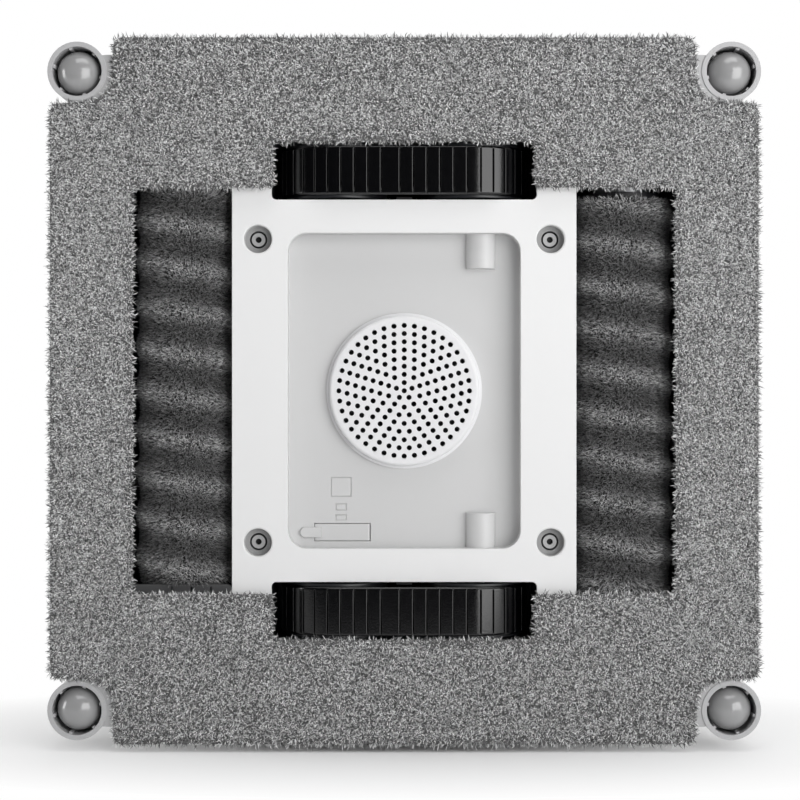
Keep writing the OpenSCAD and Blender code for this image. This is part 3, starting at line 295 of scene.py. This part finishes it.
plate = Finish("white_plate", (0.8, 0.8, 0.8), 0.38, Specular_IOR_Level=0.45)
plate.rough(plate.noise(900, 3) * 0.1 + 0.33)
plate.bump(plate.noise(2600, 2) * 0.5 + plate.noise(60, 1) * 0.3, 0.02 * MM, edge=0.35 * MM)
bore = screw_distance(plate)
in_bore = ((BORE_R - bore) / (0.15 * MM)).clamp(0.0, 1.0)
in_seam = ((SEAM_R - bore) / (0.1 * MM)).clamp(0.0, 1.0)
plate.colour((0.82, 0.82, 0.82), (0.02, 0.02, 0.02), in_bore * 0.6 + in_seam * 0.4)
plate.on("base_plate")

zinc = Finish("screw_zinc", (0.62, 0.62, 0.62), 0.42, Metallic=0.25)
zinc.rough(zinc.noise(900, 3) * 0.16 + 0.34)
zinc.bump(zinc.noise(1800, 2), 0.01 * MM, edge=0.2 * MM)
spot = screw_distance(zinc)
off_socket = ((spot - SOCKET_R) / (0.1 * MM)).clamp(0.0, 1.0)
off_edge = ((HEAD_EDGE_R - spot) / (0.2 * MM)).clamp(0.0, 1.0)
zinc.colour((0.01, 0.01, 0.01), (0.5, 0.5, 0.5), off_socket * off_edge)
zinc.on("plate_screws")

# Fan grille: a raised perforated disc, moulded by itself of white ABS. It stands on the suction tray,
# over the fan's opening.
grille = Finish("grille_abs", (0.79, 0.79, 0.8), 0.45)
grille.bump(grille.noise(2600, 2), 0.015 * MM, edge=0.3 * MM)
grille.on("fan_grille")

# Suction tray, port flap and exhaust grille: light-grey ABS mouldings with a matt grain. The tray
# closes the middle window of the plate, the flap turns about the barrel at its right edge, and the
# slotted grille fills the round opening of the cover.
tray = Finish("tray_abs", (0.62, 0.62, 0.62), 0.42)
tray.rough(tray.noise(700, 3) * 0.12 + 0.36)
tray.bump(tray.noise(2300, 2) * 0.6 + tray.noise(45, 1) * 0.4, 0.02 * MM, edge=0.35 * MM)
tray.on("suction_tray", "port_flap", "exhaust_grille")

# Feeler cups: grey ABS cups with six guide ribs each. A flange seats each cup on the plate's corner,
# and webs fill the corner up to the pad.
cup = Finish("cup_abs", (0.47, 0.47, 0.475), 0.36)
cup.bump(cup.noise(2400, 2), 0.015 * MM, edge=0.25 * MM)
cup.on("feeler_cups")

# Roller guards: dark slotted strips, set into the plate's windows under the low ends of the rollers.
# They are moulded, and they stay still while the rollers turn.
guard = Finish("guard_plastic", (0.06, 0.06, 0.062), 0.5)
guard.bump(guard.noise(1800, 2), 0.02 * MM, edge=0.25 * MM)
guard.on("roller_guards")

# Black ABS mouldings that are seen only as dark gaps: the wells round the tracks and rollers, the
# tubes inside the rollers, the blower housing, the battery holder, the power inlet and the feeler
# switches. The impeller and the fan's steel shaft behind the grille take the same black as painted
# shade, so that the grille's holes show dark.
black = Finish("black_abs_and_painted_shade", (0.012, 0.012, 0.014), 0.45)
black.rough(black.noise(400, 3) * 0.15 + 0.38)
black.bump(black.noise(1500, 2), 0.02 * MM, edge=0.25 * MM)
black.on(
    "track_well_upper", "track_well_lower", "roller_well_left", "roller_well_right",
    "roller_tube_left", "roller_tube_right", "blower_housing", "impeller", "fan_shaft",
    "battery_holder", "power_inlet", "feeler_switches",
)

# Track wheels: turned dark acetal. The driven ones sit on the gear motors' shafts, and the idle ones
# run on axles that the wells hold.
wheel = Finish("wheel_acetal", (0.02, 0.021, 0.024), 0.32)
wheel.bump(wheel.noise(1200, 2), 0.01 * MM, edge=0.2 * MM)
wheel.on("drive_wheel_upper", "drive_wheel_lower", "idler_wheel_upper", "idler_wheel_lower")

# Roller plugs and bushes: grey acetal. A plug closes the low end of each tube, and its stub turns in
# a bush that is pressed into the end of the well.
grey = Finish("grey_acetal", (0.3, 0.3, 0.31), 0.4)
grey.bump(grey.noise(1200, 2), 0.01 * MM)
grey.on("roller_cap_left", "roller_cap_right", "roller_bush_left", "roller_bush_right")

# Blower gasket: a ring of closed-cell foam, squeezed between the suction tray and the blower.
foam = Finish("gasket_foam", (0.03, 0.03, 0.03), 0.9)
foam.bump(foam.noise(1600, 3), 0.15 * MM)
foam.on("blower_gasket")

# Hook tape: woven nylon with cut hooks, stuck in shallow beds in the plate's face. It holds the pad.
tape = Finish("hook_tape_nylon", (0.03, 0.03, 0.03), 0.7)
tape.bump(tape.noise(2200, 2), 0.2 * MM)
tape.on("hook_tape")

# Shafts, axles, feeler springs, rope eye and service port: plated steel. The shafts and axles are
# turned, the springs are wound of wire, and the eye and the port's shell are pressed.
steel = Finish("plated_steel", (0.62, 0.62, 0.63), 0.3, Metallic=1.0)
steel.rough(steel.noise(500, 3, at=steel.stretched(1, 6, 1)) * 0.2 + 0.22)
steel.bump(steel.noise(1500, 2), 0.005 * MM, edge=0.2 * MM)
steel.on(
    "rope_eye", "service_port", "idler_axle_upper", "idler_axle_lower",
    "drive_shaft_upper", "drive_shaft_lower",
    *["feeler_spring_" + c for c in ("upper_left", "upper_right", "lower_left", "lower_right")],
)

# Motors: steel cans, deep drawn and plated. Their roughness changes fastest along X, which gives faint
# rings on the motors that lie that way.
can = Finish("motor_can", (0.5, 0.5, 0.52), 0.35, Metallic=0.9)
can.rough(can.noise(300, 3, at=can.stretched(8, 1, 1)) * 0.2 + 0.26)
can.on(
    "fan_motor", "track_motor_upper", "track_motor_lower", "roller_motor_left", "roller_motor_right",
)

# Circuit boards: glass-fibre boards under green solder mask, each seated on posts of the cover.
board = Finish("solder_mask", (0.02, 0.12, 0.05), 0.35)
board.colour((0.015, 0.09, 0.04), (0.03, 0.17, 0.07), board.noise(250, 2))
board.on("main_board", "button_board")

# Battery cells: round cells in blue shrink sleeve, laid in their open holder.
sleeve = Finish("cell_sleeve", (0.05, 0.16, 0.42), 0.3)
sleeve.rough(sleeve.noise(200, 2) * 0.2 + 0.2)
sleeve.on("battery_cells")

# Light ring: a milky light guide of clear plastic, pressed into the cover round the start button.
ring = Finish("light_guide", (0.8, 0.86, 0.9), 0.25, Transmission_Weight=0.35)
ring.bump(ring.noise(900, 2), 0.01 * MM)
ring.on("light_ring")

# Feeler domes: polished grey acetal plungers with a clear shine. Each slides in its cup on a spring,
# and comes out where the glass ends.
dome = Finish("dome_acetal", (0.32, 0.32, 0.322), 0.24, Coat_Weight=1.0, Coat_Roughness=0.12)
dome.rough(dome.noise(300, 2) * 0.06 + 0.22)
dome.on(*["feeler_dome_" + c for c in ("upper_left", "upper_right", "lower_left", "lower_right")])


# Cleaning pad: a ring of microfibre cloth with cut pile, pressed on the plate's hook tape. Its outline
# is the CAD pad's: a rounded square with a notch at each corner and an opening for rollers and tracks.
# It is worked out as a signed distance, so that the pile knows how near an edge it grows.
pad_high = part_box("cleaning_pad")[1]
PAD_X, PAD_Z = round(pad_high[0], 5), round(pad_high[2], 5)
NOTCH_X, NOTCH_Z, NOTCH_R = 102.3 * MM, 101.2 * MM, 10 * MM
CORNER_R = 2.6 * MM
OPEN_X, OPEN_Z, OPEN_R = 95.5 * MM, 71.4 * MM, 1.8 * MM
TRACK_X, TRACK_Z = 46.0 * MM, 87.5 * MM


def box_distance(x, z, half_x, half_z, radius=0.0):
    """Signed distance to a rounded rectangle about the origin, negative inside.

    It is the distance to the rectangle that is smaller by the radius all round, less the radius.
    """
    dx = np.abs(x) - half_x + radius
    dz = np.abs(z) - half_z + radius
    outside = np.hypot(np.maximum(dx, 0), np.maximum(dz, 0))
    return outside + np.minimum(np.maximum(dx, dz), 0) - radius


def pad_distance(x, z):
    """Signed distance to the pad's edge, negative on the cloth.

    Outside, the pad is a wide and a tall rectangle laid over each other, with the corner between them
    rounded by NOTCH_R. The opening is the rollers' rectangle laid over the tracks'. What is in the
    first and not in the second is cloth: the greater of one distance and the other's opposite.
    """
    wide = box_distance(x, z, PAD_X, NOTCH_Z, CORNER_R)
    tall = box_distance(x, z, NOTCH_X, PAD_Z, CORNER_R)
    outer = np.minimum(wide, tall)
    inner_corner = NOTCH_R - np.hypot(np.abs(x) - NOTCH_X - NOTCH_R, np.abs(z) - NOTCH_Z - NOTCH_R)
    near_corner = (np.abs(x) < NOTCH_X + NOTCH_R) & (np.abs(z) < NOTCH_Z + NOTCH_R)
    outer = np.where(near_corner, np.minimum(outer, inner_corner), outer)
    rollers = box_distance(x, z, OPEN_X, OPEN_Z, OPEN_R)
    tracks = box_distance(x, z, TRACK_X, TRACK_Z, OPEN_R)
    return np.maximum(outer, -np.minimum(rollers, tracks))


MID_SHARE, END_SHARE = 0.55, 0.5
LENGTH_SPREAD, WIDTH_SPREAD, BEND_SPREAD = (0.65, 1.2), (0.35, 0.65), (-1.2, 1.2)


def tufts(name, roots, normals, length, width, finish, body, seed, lean=(0.4, 1.5), shade=None):
    """Cut fibres as tapered ribbons with one bend.

    A fibre leaves its root along the normal plus a random sideways lean for MID_SHARE of its length,
    and then bends into a second random direction for END_SHARE of it. Two pairs of points and a tip
    make a quad and a triangle.
    The point attribute "tip" runs from 0 at the root to 1 at the tip, and "shade" is one number for
    each fibre. Where none is given, it is drawn mostly near 0 or 1.
    """
    rng = np.random.default_rng(seed)
    n = len(roots)
    side = np.cross(normals, rng.normal(size=(n, 3)))
    side /= np.linalg.norm(side, axis=1)[:, None]
    other = np.cross(normals, side)
    turn = rng.uniform(*BEND_SPREAD, n)[:, None]
    amount = rng.uniform(*lean, n)[:, None]
    first = normals + side * amount * 0.7
    second = normals * 0.4 + (side * np.cos(turn) + other * np.sin(turn)) * amount
    first /= np.linalg.norm(first, axis=1)[:, None]
    second /= np.linalg.norm(second, axis=1)[:, None]
    size = (length * rng.uniform(*LENGTH_SPREAD, n))[:, None]
    half = (width * rng.uniform(*WIDTH_SPREAD, n))[:, None]
    across = np.cross(first, normals)
    across /= np.linalg.norm(across, axis=1)[:, None] + 1e-9
    middle = roots + first * size * MID_SHARE
    tip = middle + (first * 0.45 + second * 0.55) * size * END_SHARE
    edge = across * half
    points = np.stack([roots - edge, roots + edge, middle - edge, middle + edge, tip], 1).reshape(-1, 3)
    base = np.arange(n)[:, None] * 5
    corners = np.concatenate([(base + [0, 1, 3, 2]).ravel(), (base + [2, 3, 4]).ravel()])
    starts = np.concatenate([np.arange(n) * 4, 4 * n + np.arange(n) * 3])
    mesh = bpy.data.meshes.new(name)
    mesh.vertices.add(5 * n)
    mesh.vertices.foreach_set("co", points.ravel())
    mesh.loops.add(len(corners))
    mesh.loops.foreach_set("vertex_index", corners)
    mesh.polygons.add(2 * n)
    mesh.polygons.foreach_set("loop_start", starts)
    mesh.update(calc_edges=True)
    tips = mesh.attributes.new("tip", "FLOAT", "POINT")
    tips.data.foreach_set("value", np.tile([0, 0, MID_SHARE, MID_SHARE, 1.0], n))
    if shade is None:
        shade = rng.beta(0.4, 0.5, n)
    shades = mesh.attributes.new("shade", "FLOAT", "POINT")
    shades.data.foreach_set("value", np.repeat(shade, 5))
    mesh.shade_smooth()
    mesh.materials.append(finish.mat)
    obj = bpy.data.objects.new(name, mesh)
    bpy.context.scene.collection.objects.link(obj)
    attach(obj, body)
    return obj


plush = Finish("pad_plush", (0.3, 0.3, 0.3), 0.85, Sheen_Weight=0.25, Sheen_Roughness=0.5)
# Each fibre keeps its own random tone from the shade attribute, and is painted darker towards its root
# as painted shade between the fibres.
pile_tone_and_root_shade = plush.attribute("tip") * 0.45 + plush.attribute("shade") * 0.9 - 0.17
plush.colour((0.01, 0.01, 0.01), (0.98, 0.98, 0.98), pile_tone_and_root_shade.clamp(0.0, 1.0))

cloth = Finish("pad_cloth", (0.12, 0.12, 0.12), 0.95)
cloth.colour((0.05, 0.05, 0.05), (0.24, 0.24, 0.24), cloth.noise(700, 3))
cloth.bump(cloth.noise(900, 3), 0.5 * MM)


def pad_loop(half_x, half_z, inset):
    """The pad's outer edge as a closed row of points, pulled in by inset.

    A quarter of it is a quarter circle at the side, the hollow quarter circle of the notch, and a
    quarter circle at the top, with straight lines between. The other quarters are its mirror images.
    """
    nx, nz, nr = NOTCH_X - inset, NOTCH_Z - inset, NOTCH_R + inset
    arc = np.linspace(0, math.pi / 2, 9)
    in_x, in_z = CORNER_R * (1 - np.cos(arc)), CORNER_R * (1 - np.sin(arc))
    beside = np.column_stack([half_x - inset - in_x, nz - in_z])
    hollow = np.column_stack([nx + nr - nr * np.sin(arc), nz + nr - nr * np.cos(arc)])
    above = np.column_stack([nx - in_x, half_z - inset - in_z])
    quarter = np.concatenate([beside, hollow, above])
    flip = quarter[::-1]
    return np.concatenate([quarter, flip * [-1, 1], quarter * [-1, -1], flip * [1, -1]])


def hole_loop(grow):
    """The pad's inner edge, made larger by grow: the rollers' rectangle laid over the tracks'."""
    a, b, c, d = OPEN_X + grow, OPEN_Z + grow, TRACK_X + grow, TRACK_Z + grow
    upper = np.array([(a, b), (c, b), (c, d), (-c, d), (-c, b), (-a, b)])
    return np.concatenate([upper, -upper])


# The cloth under the pile is a flat curve, filled between the two edges and rounded at its rim.
CLOTH_MID, CLOTH_HALF, RIM_R, RIM_SET = 3.0 * MM, 0.8 * MM, 0.8 * MM, 0.9 * MM
outline = bpy.data.curves.new("pad_outline", "CURVE")
outline.dimensions = "2D"
outline.fill_mode = "BOTH"
outline.extrude = CLOTH_HALF
outline.bevel_depth = RIM_R
outline.bevel_resolution = 3
for loop in (pad_loop(PAD_X, PAD_Z, RIM_SET), hole_loop(RIM_SET)):
    flat_points = np.column_stack([loop, np.zeros(len(loop)), np.ones(len(loop))])
    spline = outline.splines.new("POLY")
    spline.points.add(len(loop) - 1)
    spline.points.foreach_set("co", flat_points.ravel())
    spline.use_cyclic_u = True
outline_obj = bpy.data.objects.new("pad_outline", outline)
bpy.context.scene.collection.objects.link(outline_obj)
bpy.context.view_layer.update()
backing_mesh = bpy.data.meshes.new_from_object(outline_obj)
bpy.data.objects.remove(outline_obj)
bpy.data.curves.remove(outline)
co = np.zeros(len(backing_mesh.vertices) * 3)
backing_mesh.vertices.foreach_get("co", co)
x, z, rise = co.reshape(-1, 3).T
backing_mesh.vertices.foreach_set("co", np.column_stack([x, CLOTH_MID - rise, z]).ravel())
backing_mesh.update()
backing_mesh.name = "pad_backing"
backing_mesh.materials.clear()
backing_mesh.materials.append(cloth.mat)
pad_backing = bpy.data.objects.new("pad_backing", backing_mesh)
bpy.context.scene.collection.objects.link(pad_backing)
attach(pad_backing, "chassis")
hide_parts("cleaning_pad")

# The pile grows in four pieces, each a quarter of the square between its diagonals. Near an edge the
# roots lie at all depths down the rim, and the fibres are longer and lean outwards.
PAD_FIBRES = 62000
TRIES = 20 * PAD_FIBRES
PILE_LEN, PILE_EXTRA, PILE_W = 1.75 * MM, 0.6 * MM, 0.3 * MM
ROOT_DEPTH, RIM_DEPTH, RIM_REACH, ROOT_SET = 1.6 * MM, 2.2 * MM, 2.2 * MM, 0.15 * MM
RIM_LEAN = 1.1
rng = np.random.default_rng(7)
for turn, part in enumerate(("top", "right", "bottom", "left")):
    half = PAD_X + 0.1 * MM
    u = rng.uniform(-half, half, TRIES)
    v = rng.uniform(0, half, TRIES)
    keep = v > np.abs(u)
    u, v = u[keep], v[keep]
    x, z = ((u, v), (v, -u), (-u, -v), (-v, u))[turn]
    d = pad_distance(x, z)
    inside = d < -ROOT_SET
    x, z, d = (a[inside][:PAD_FIBRES] for a in (x, z, d))
    step = 0.05 * MM
    gx = (pad_distance(x + step, z) - pad_distance(x - step, z)) / (2 * step)
    gz = (pad_distance(x, z + step) - pad_distance(x, z - step)) / (2 * step)
    edge = np.clip(1 + d / RIM_REACH, 0, 1)
    normals = np.column_stack([gx * edge * RIM_LEAN, -np.ones(len(x)), gz * edge * RIM_LEAN])
    normals /= np.linalg.norm(normals, axis=1)[:, None]
    depth = ROOT_DEPTH + edge ** 2 * rng.uniform(0, 1, len(x)) * RIM_DEPTH
    roots = np.column_stack([x, depth, z])
    reach = PILE_LEN + PILE_EXTRA * edge ** 2
    pile = tufts("pad_pile_" + part, roots, normals, reach, PILE_W, plush, "chassis", 11 + turn)


# Roller sleeves: dark microfibre cloth, wound on the tube in a strip and pulled tight. Its pile stands
# highest along the middle of the strip, which gives a slow helix of crests and valleys. The fibres
# are painted grey on the crests and dark in the valleys, as painted shade.
SLEEVE_R, CREST_RISE, LEAD = 15.4 * MM, 1.3 * MM, 15.1 * MM
END_SINK, END_R = 1.5 * MM, 13.4 * MM
END_LEAN, STRIP_LEAN = 0.9, 0.25
ROLLER_FIBRES, FIBRE_LEN, FIBRE_W, END_REACH = 62000, 2.0 * MM, 0.24 * MM, 2 * MM
fluff = Finish("roller_plush", (0.08, 0.08, 0.08), 0.9, Sheen_Weight=0.2, Sheen_Roughness=0.5)
# The fibres are painted darker towards their roots as painted shade, and the shade attribute carries
# the painted shade of the valleys.
fibre_tone_and_shade = fluff.attribute("tip") * 0.25 + fluff.attribute("shade") * 0.85 - 0.08
fluff.colour((0.012, 0.012, 0.012), (0.85, 0.85, 0.85), fibre_tone_and_shade.clamp(0.0, 1.0))
under = Finish("roller_cloth", (0.02, 0.02, 0.02), 0.95)
under.colour((0.01, 0.01, 0.01), (0.05, 0.05, 0.05), under.noise(800, 3))
under.bump(under.noise(900, 3), 0.4 * MM)


def helix(angle, height, crest):
    """1 on the crest of the wound strip and 0 in its valley.

    It is half of 1 plus the cosine of the height over the crest, in turns of LEAD, plus the angle.
    The angle is 0 at the side that faces the pane, where the crest falls as it goes right.
    """
    return 0.5 + 0.5 * np.cos(2 * np.pi * (height - crest) / LEAD + angle)


def grid_faces(rows, cols, wrap_rows=False, wrap_cols=False):
    """Quads of a grid of points stored row by row, closed in either direction."""
    i = np.arange(rows if wrap_rows else rows - 1)[:, None]
    j = np.arange(cols if wrap_cols else cols - 1)[None, :]
    i2 = (i + 1) % rows
    j2 = (j + 1) % cols
    corners = [i * cols + j + 0 * i2, i * cols + j2, i2 * cols + j2, i2 * cols + j]
    return np.stack(corners, -1).reshape(-1, 4)


def grid_piece(name, points, faces, finish):
    """A smooth mesh object of a grid's points and faces."""
    mesh = bpy.data.meshes.new(name)
    mesh.from_pydata(points.tolist(), [], [tuple(f) for f in faces.tolist()])
    mesh.update()
    mesh.shade_smooth()
    mesh.materials.append(finish.mat)
    obj = bpy.data.objects.new(name, mesh)
    bpy.context.scene.collection.objects.link(obj)
    return obj


for side, crest, seed in (("left", 58.0 * MM, 31), ("right", 50.7 * MM, 32)):
    pile_low, pile_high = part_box("roller_pile_" + side)
    centre_x, centre_y = (round((pile_low[i] + pile_high[i]) / 2, 5) for i in (0, 1))
    low, high = round(pile_low[2], 5), round(pile_high[2], 5)
    rows, cols = 220, 72
    h = np.linspace(low, high, rows)[:, None]
    a = np.arange(cols)[None, :] * 2 * np.pi / cols
    r = SLEEVE_R + CREST_RISE * helix(a, h, crest)
    from_end = np.minimum(h - low, high - h)
    r = r - END_SINK * np.clip(1 - from_end / END_SINK, 0, 1) ** 2
    r[[0, -1]] = END_R
    h[[1, -2]] = h[[0, -1]]
    points = np.stack([centre_x + r * np.sin(a), centre_y - r * np.cos(a), h + 0 * a], -1)
    name = "roller_" + side
    faces = grid_faces(rows, cols, wrap_cols=True)
    core = grid_piece(name + "_cloth", points.reshape(-1, 3), faces, under)
    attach(core, name)
    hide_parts("roller_pile_" + side)
    n = ROLLER_FIBRES
    for part in (1, 2):
        rng = np.random.default_rng(seed * part)
        h = rng.uniform(low + 0.2 * MM, high - 0.2 * MM, n)
        a = rng.uniform(0, 2 * np.pi, n)
        wave = helix(a, h, crest)
        r = SLEEVE_R + CREST_RISE * wave
        near_low, near_high = (np.clip(1 - gap / END_REACH, 0, 1) for gap in (h - low, high - h))
        fall = np.sin(2 * np.pi * (h - crest) / LEAD + a)
        slope = (near_high - near_low) * END_LEAN - fall * STRIP_LEAN
        normals = np.column_stack([np.sin(a), -np.cos(a), slope])
        normals /= np.linalg.norm(normals, axis=1)[:, None]
        roots = np.column_stack([centre_x + r * np.sin(a), centre_y - r * np.cos(a), h])
        # Each fibre's random tone, times painted shade that darkens it towards the valleys of the
        # helix.
        shade = (0.22 + 0.78 * wave ** 1.4) * rng.beta(0.7, 0.8, n)
        pile = tufts(
            f"{name}_pile_{part}", roots, normals, FIBRE_LEN, FIBRE_W, fluff, name, seed + part,
            lean=(0.2, 1.0), shade=shade,
        )


# Rubber tracks: belts of black rubber, moulded with flat lugs, a narrow groove after each lug and a
# smooth rounded border along both sides. Each runs round a driven and an idle wheel, and is joined at
# one lug that is wider than the others.
belt_low, belt_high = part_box("track_belt_upper")
BELT_R, WHEEL_Y = (round((belt_high[1] + sign * belt_low[1]) / 2, 5) for sign in (-1, 1))
TRACK_MID = round((belt_low[2] + belt_high[2]) / 2, 5)
BELT_HALF = round((belt_high[2] - belt_low[2]) / 2, 5)
BELT_IN, INNER_EDGE, WHEEL_SPAN = 18.0 * MM, 0.2 * MM, 47.6 * MM
rubber = Finish("track_rubber", (0.001, 0.001, 0.0015), 0.2, Specular_IOR_Level=0.6)
rubber.rough(rubber.noise(500, 3) * 0.08 + 0.12)
rubber.bump(rubber.noise(1400, 3), 0.02 * MM)


def stadium_points(s, radius):
    """Points at distance s along the path round both wheels, and at a radius from their line.

    The path is the front run, the right wheel's half circle, the back run and the left wheel's half
    circle. On a half circle the angle t is the distance since its start over BELT_R.
    """
    arc = math.pi * BELT_R
    half = WHEEL_SPAN / 2
    s = np.mod(s, 2 * WHEEL_SPAN + 2 * arc)
    t_right = (s - WHEEL_SPAN) / BELT_R
    t_left = (s - 2 * WHEEL_SPAN - arc) / BELT_R
    stretches = [s < WHEEL_SPAN, s < WHEEL_SPAN + arc, s < 2 * WHEEL_SPAN + arc]
    back_x = half - (s - WHEEL_SPAN - arc)
    left_x = -half - radius * np.sin(t_left)
    x = np.select(stretches, [s - half, half + radius * np.sin(t_right), back_x], left_x)
    y = np.select(stretches, [-radius, -radius * np.cos(t_right), radius], radius * np.cos(t_left))
    return x, y


# The joint's lug begins at JOINT_X, and the other 46 share the rest of the belt evenly. A groove is
# given by depths at distances either side of its middle. Across the belt, points are given by their
# distance from the side, with the drop that rounds the border and the share of a groove's depth there.
JOINT_X, JOINT_LUG, LUGS = -8.1 * MM, 6.6 * MM, 46
total = 2 * WHEEL_SPAN + 2 * math.pi * BELT_R
aside = np.array([0.1, 0.21, 0.25, 0.3, 0.5, 1.2]) * MM
depths = np.array([1.0, 0.85, 0.06, 0, 0, 0]) * MM
offsets = np.concatenate([-aside[::-1], aside])
sinks = np.concatenate([depths[::-1], depths])
first = WHEEL_SPAN / 2 + JOINT_X + JOINT_LUG
grooves = np.sort((first + np.arange(LUGS + 1) * (total - JOINT_LUG) / LUGS) % total)
gaps = np.diff(np.append(grooves, total + grooves[0]))
s = np.concatenate([grooves[:, None] + offsets, (grooves + gaps / 2)[:, None]], 1).ravel()
sink = np.tile(np.append(sinks, 0), len(grooves))

from_side = np.array([0, 0.1, 0.4, 0.85, 1.0, 1.3, 5.6]) * MM
side_drop = np.array([1.3, 0.55, 0.12, 0, 0, 0, 0]) * MM
depth_share = np.array([0, 0, 0, 0, 0.35, 1, 1])
w = np.concatenate([from_side - BELT_HALF, BELT_HALF - from_side[::-1]])
drop = np.concatenate([side_drop, side_drop[::-1]])
cut = np.concatenate([depth_share, depth_share[::-1]])
outer_r = BELT_R - drop[None, :] - sink[:, None] * cut[None, :]
flat_half = BELT_HALF - INNER_EDGE
inner_w = np.array([BELT_HALF, flat_half, 0, -flat_half, -BELT_HALF])
inner_r = BELT_IN + INNER_EDGE * np.array([1, 0, 0, 0, 1])
radius = np.concatenate([outer_r, np.tile(inner_r, (len(s), 1))], 1)
across = np.concatenate([w, inner_w])
x, y = stadium_points(np.repeat(s[:, None], len(across), 1), radius)
faces = grid_faces(len(s), len(across), wrap_rows=True, wrap_cols=True)
for where, sign in (("upper", 1), ("lower", -1)):
    points = np.stack([x, WHEEL_Y + y, sign * (TRACK_MID + across[None, :] + 0 * x)], -1)
    belt = grid_piece("belt_" + where, points.reshape(-1, 3), faces[:, ::-sign], rubber)
    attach(belt, "chassis")
    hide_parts("track_belt_" + where)


low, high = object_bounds()
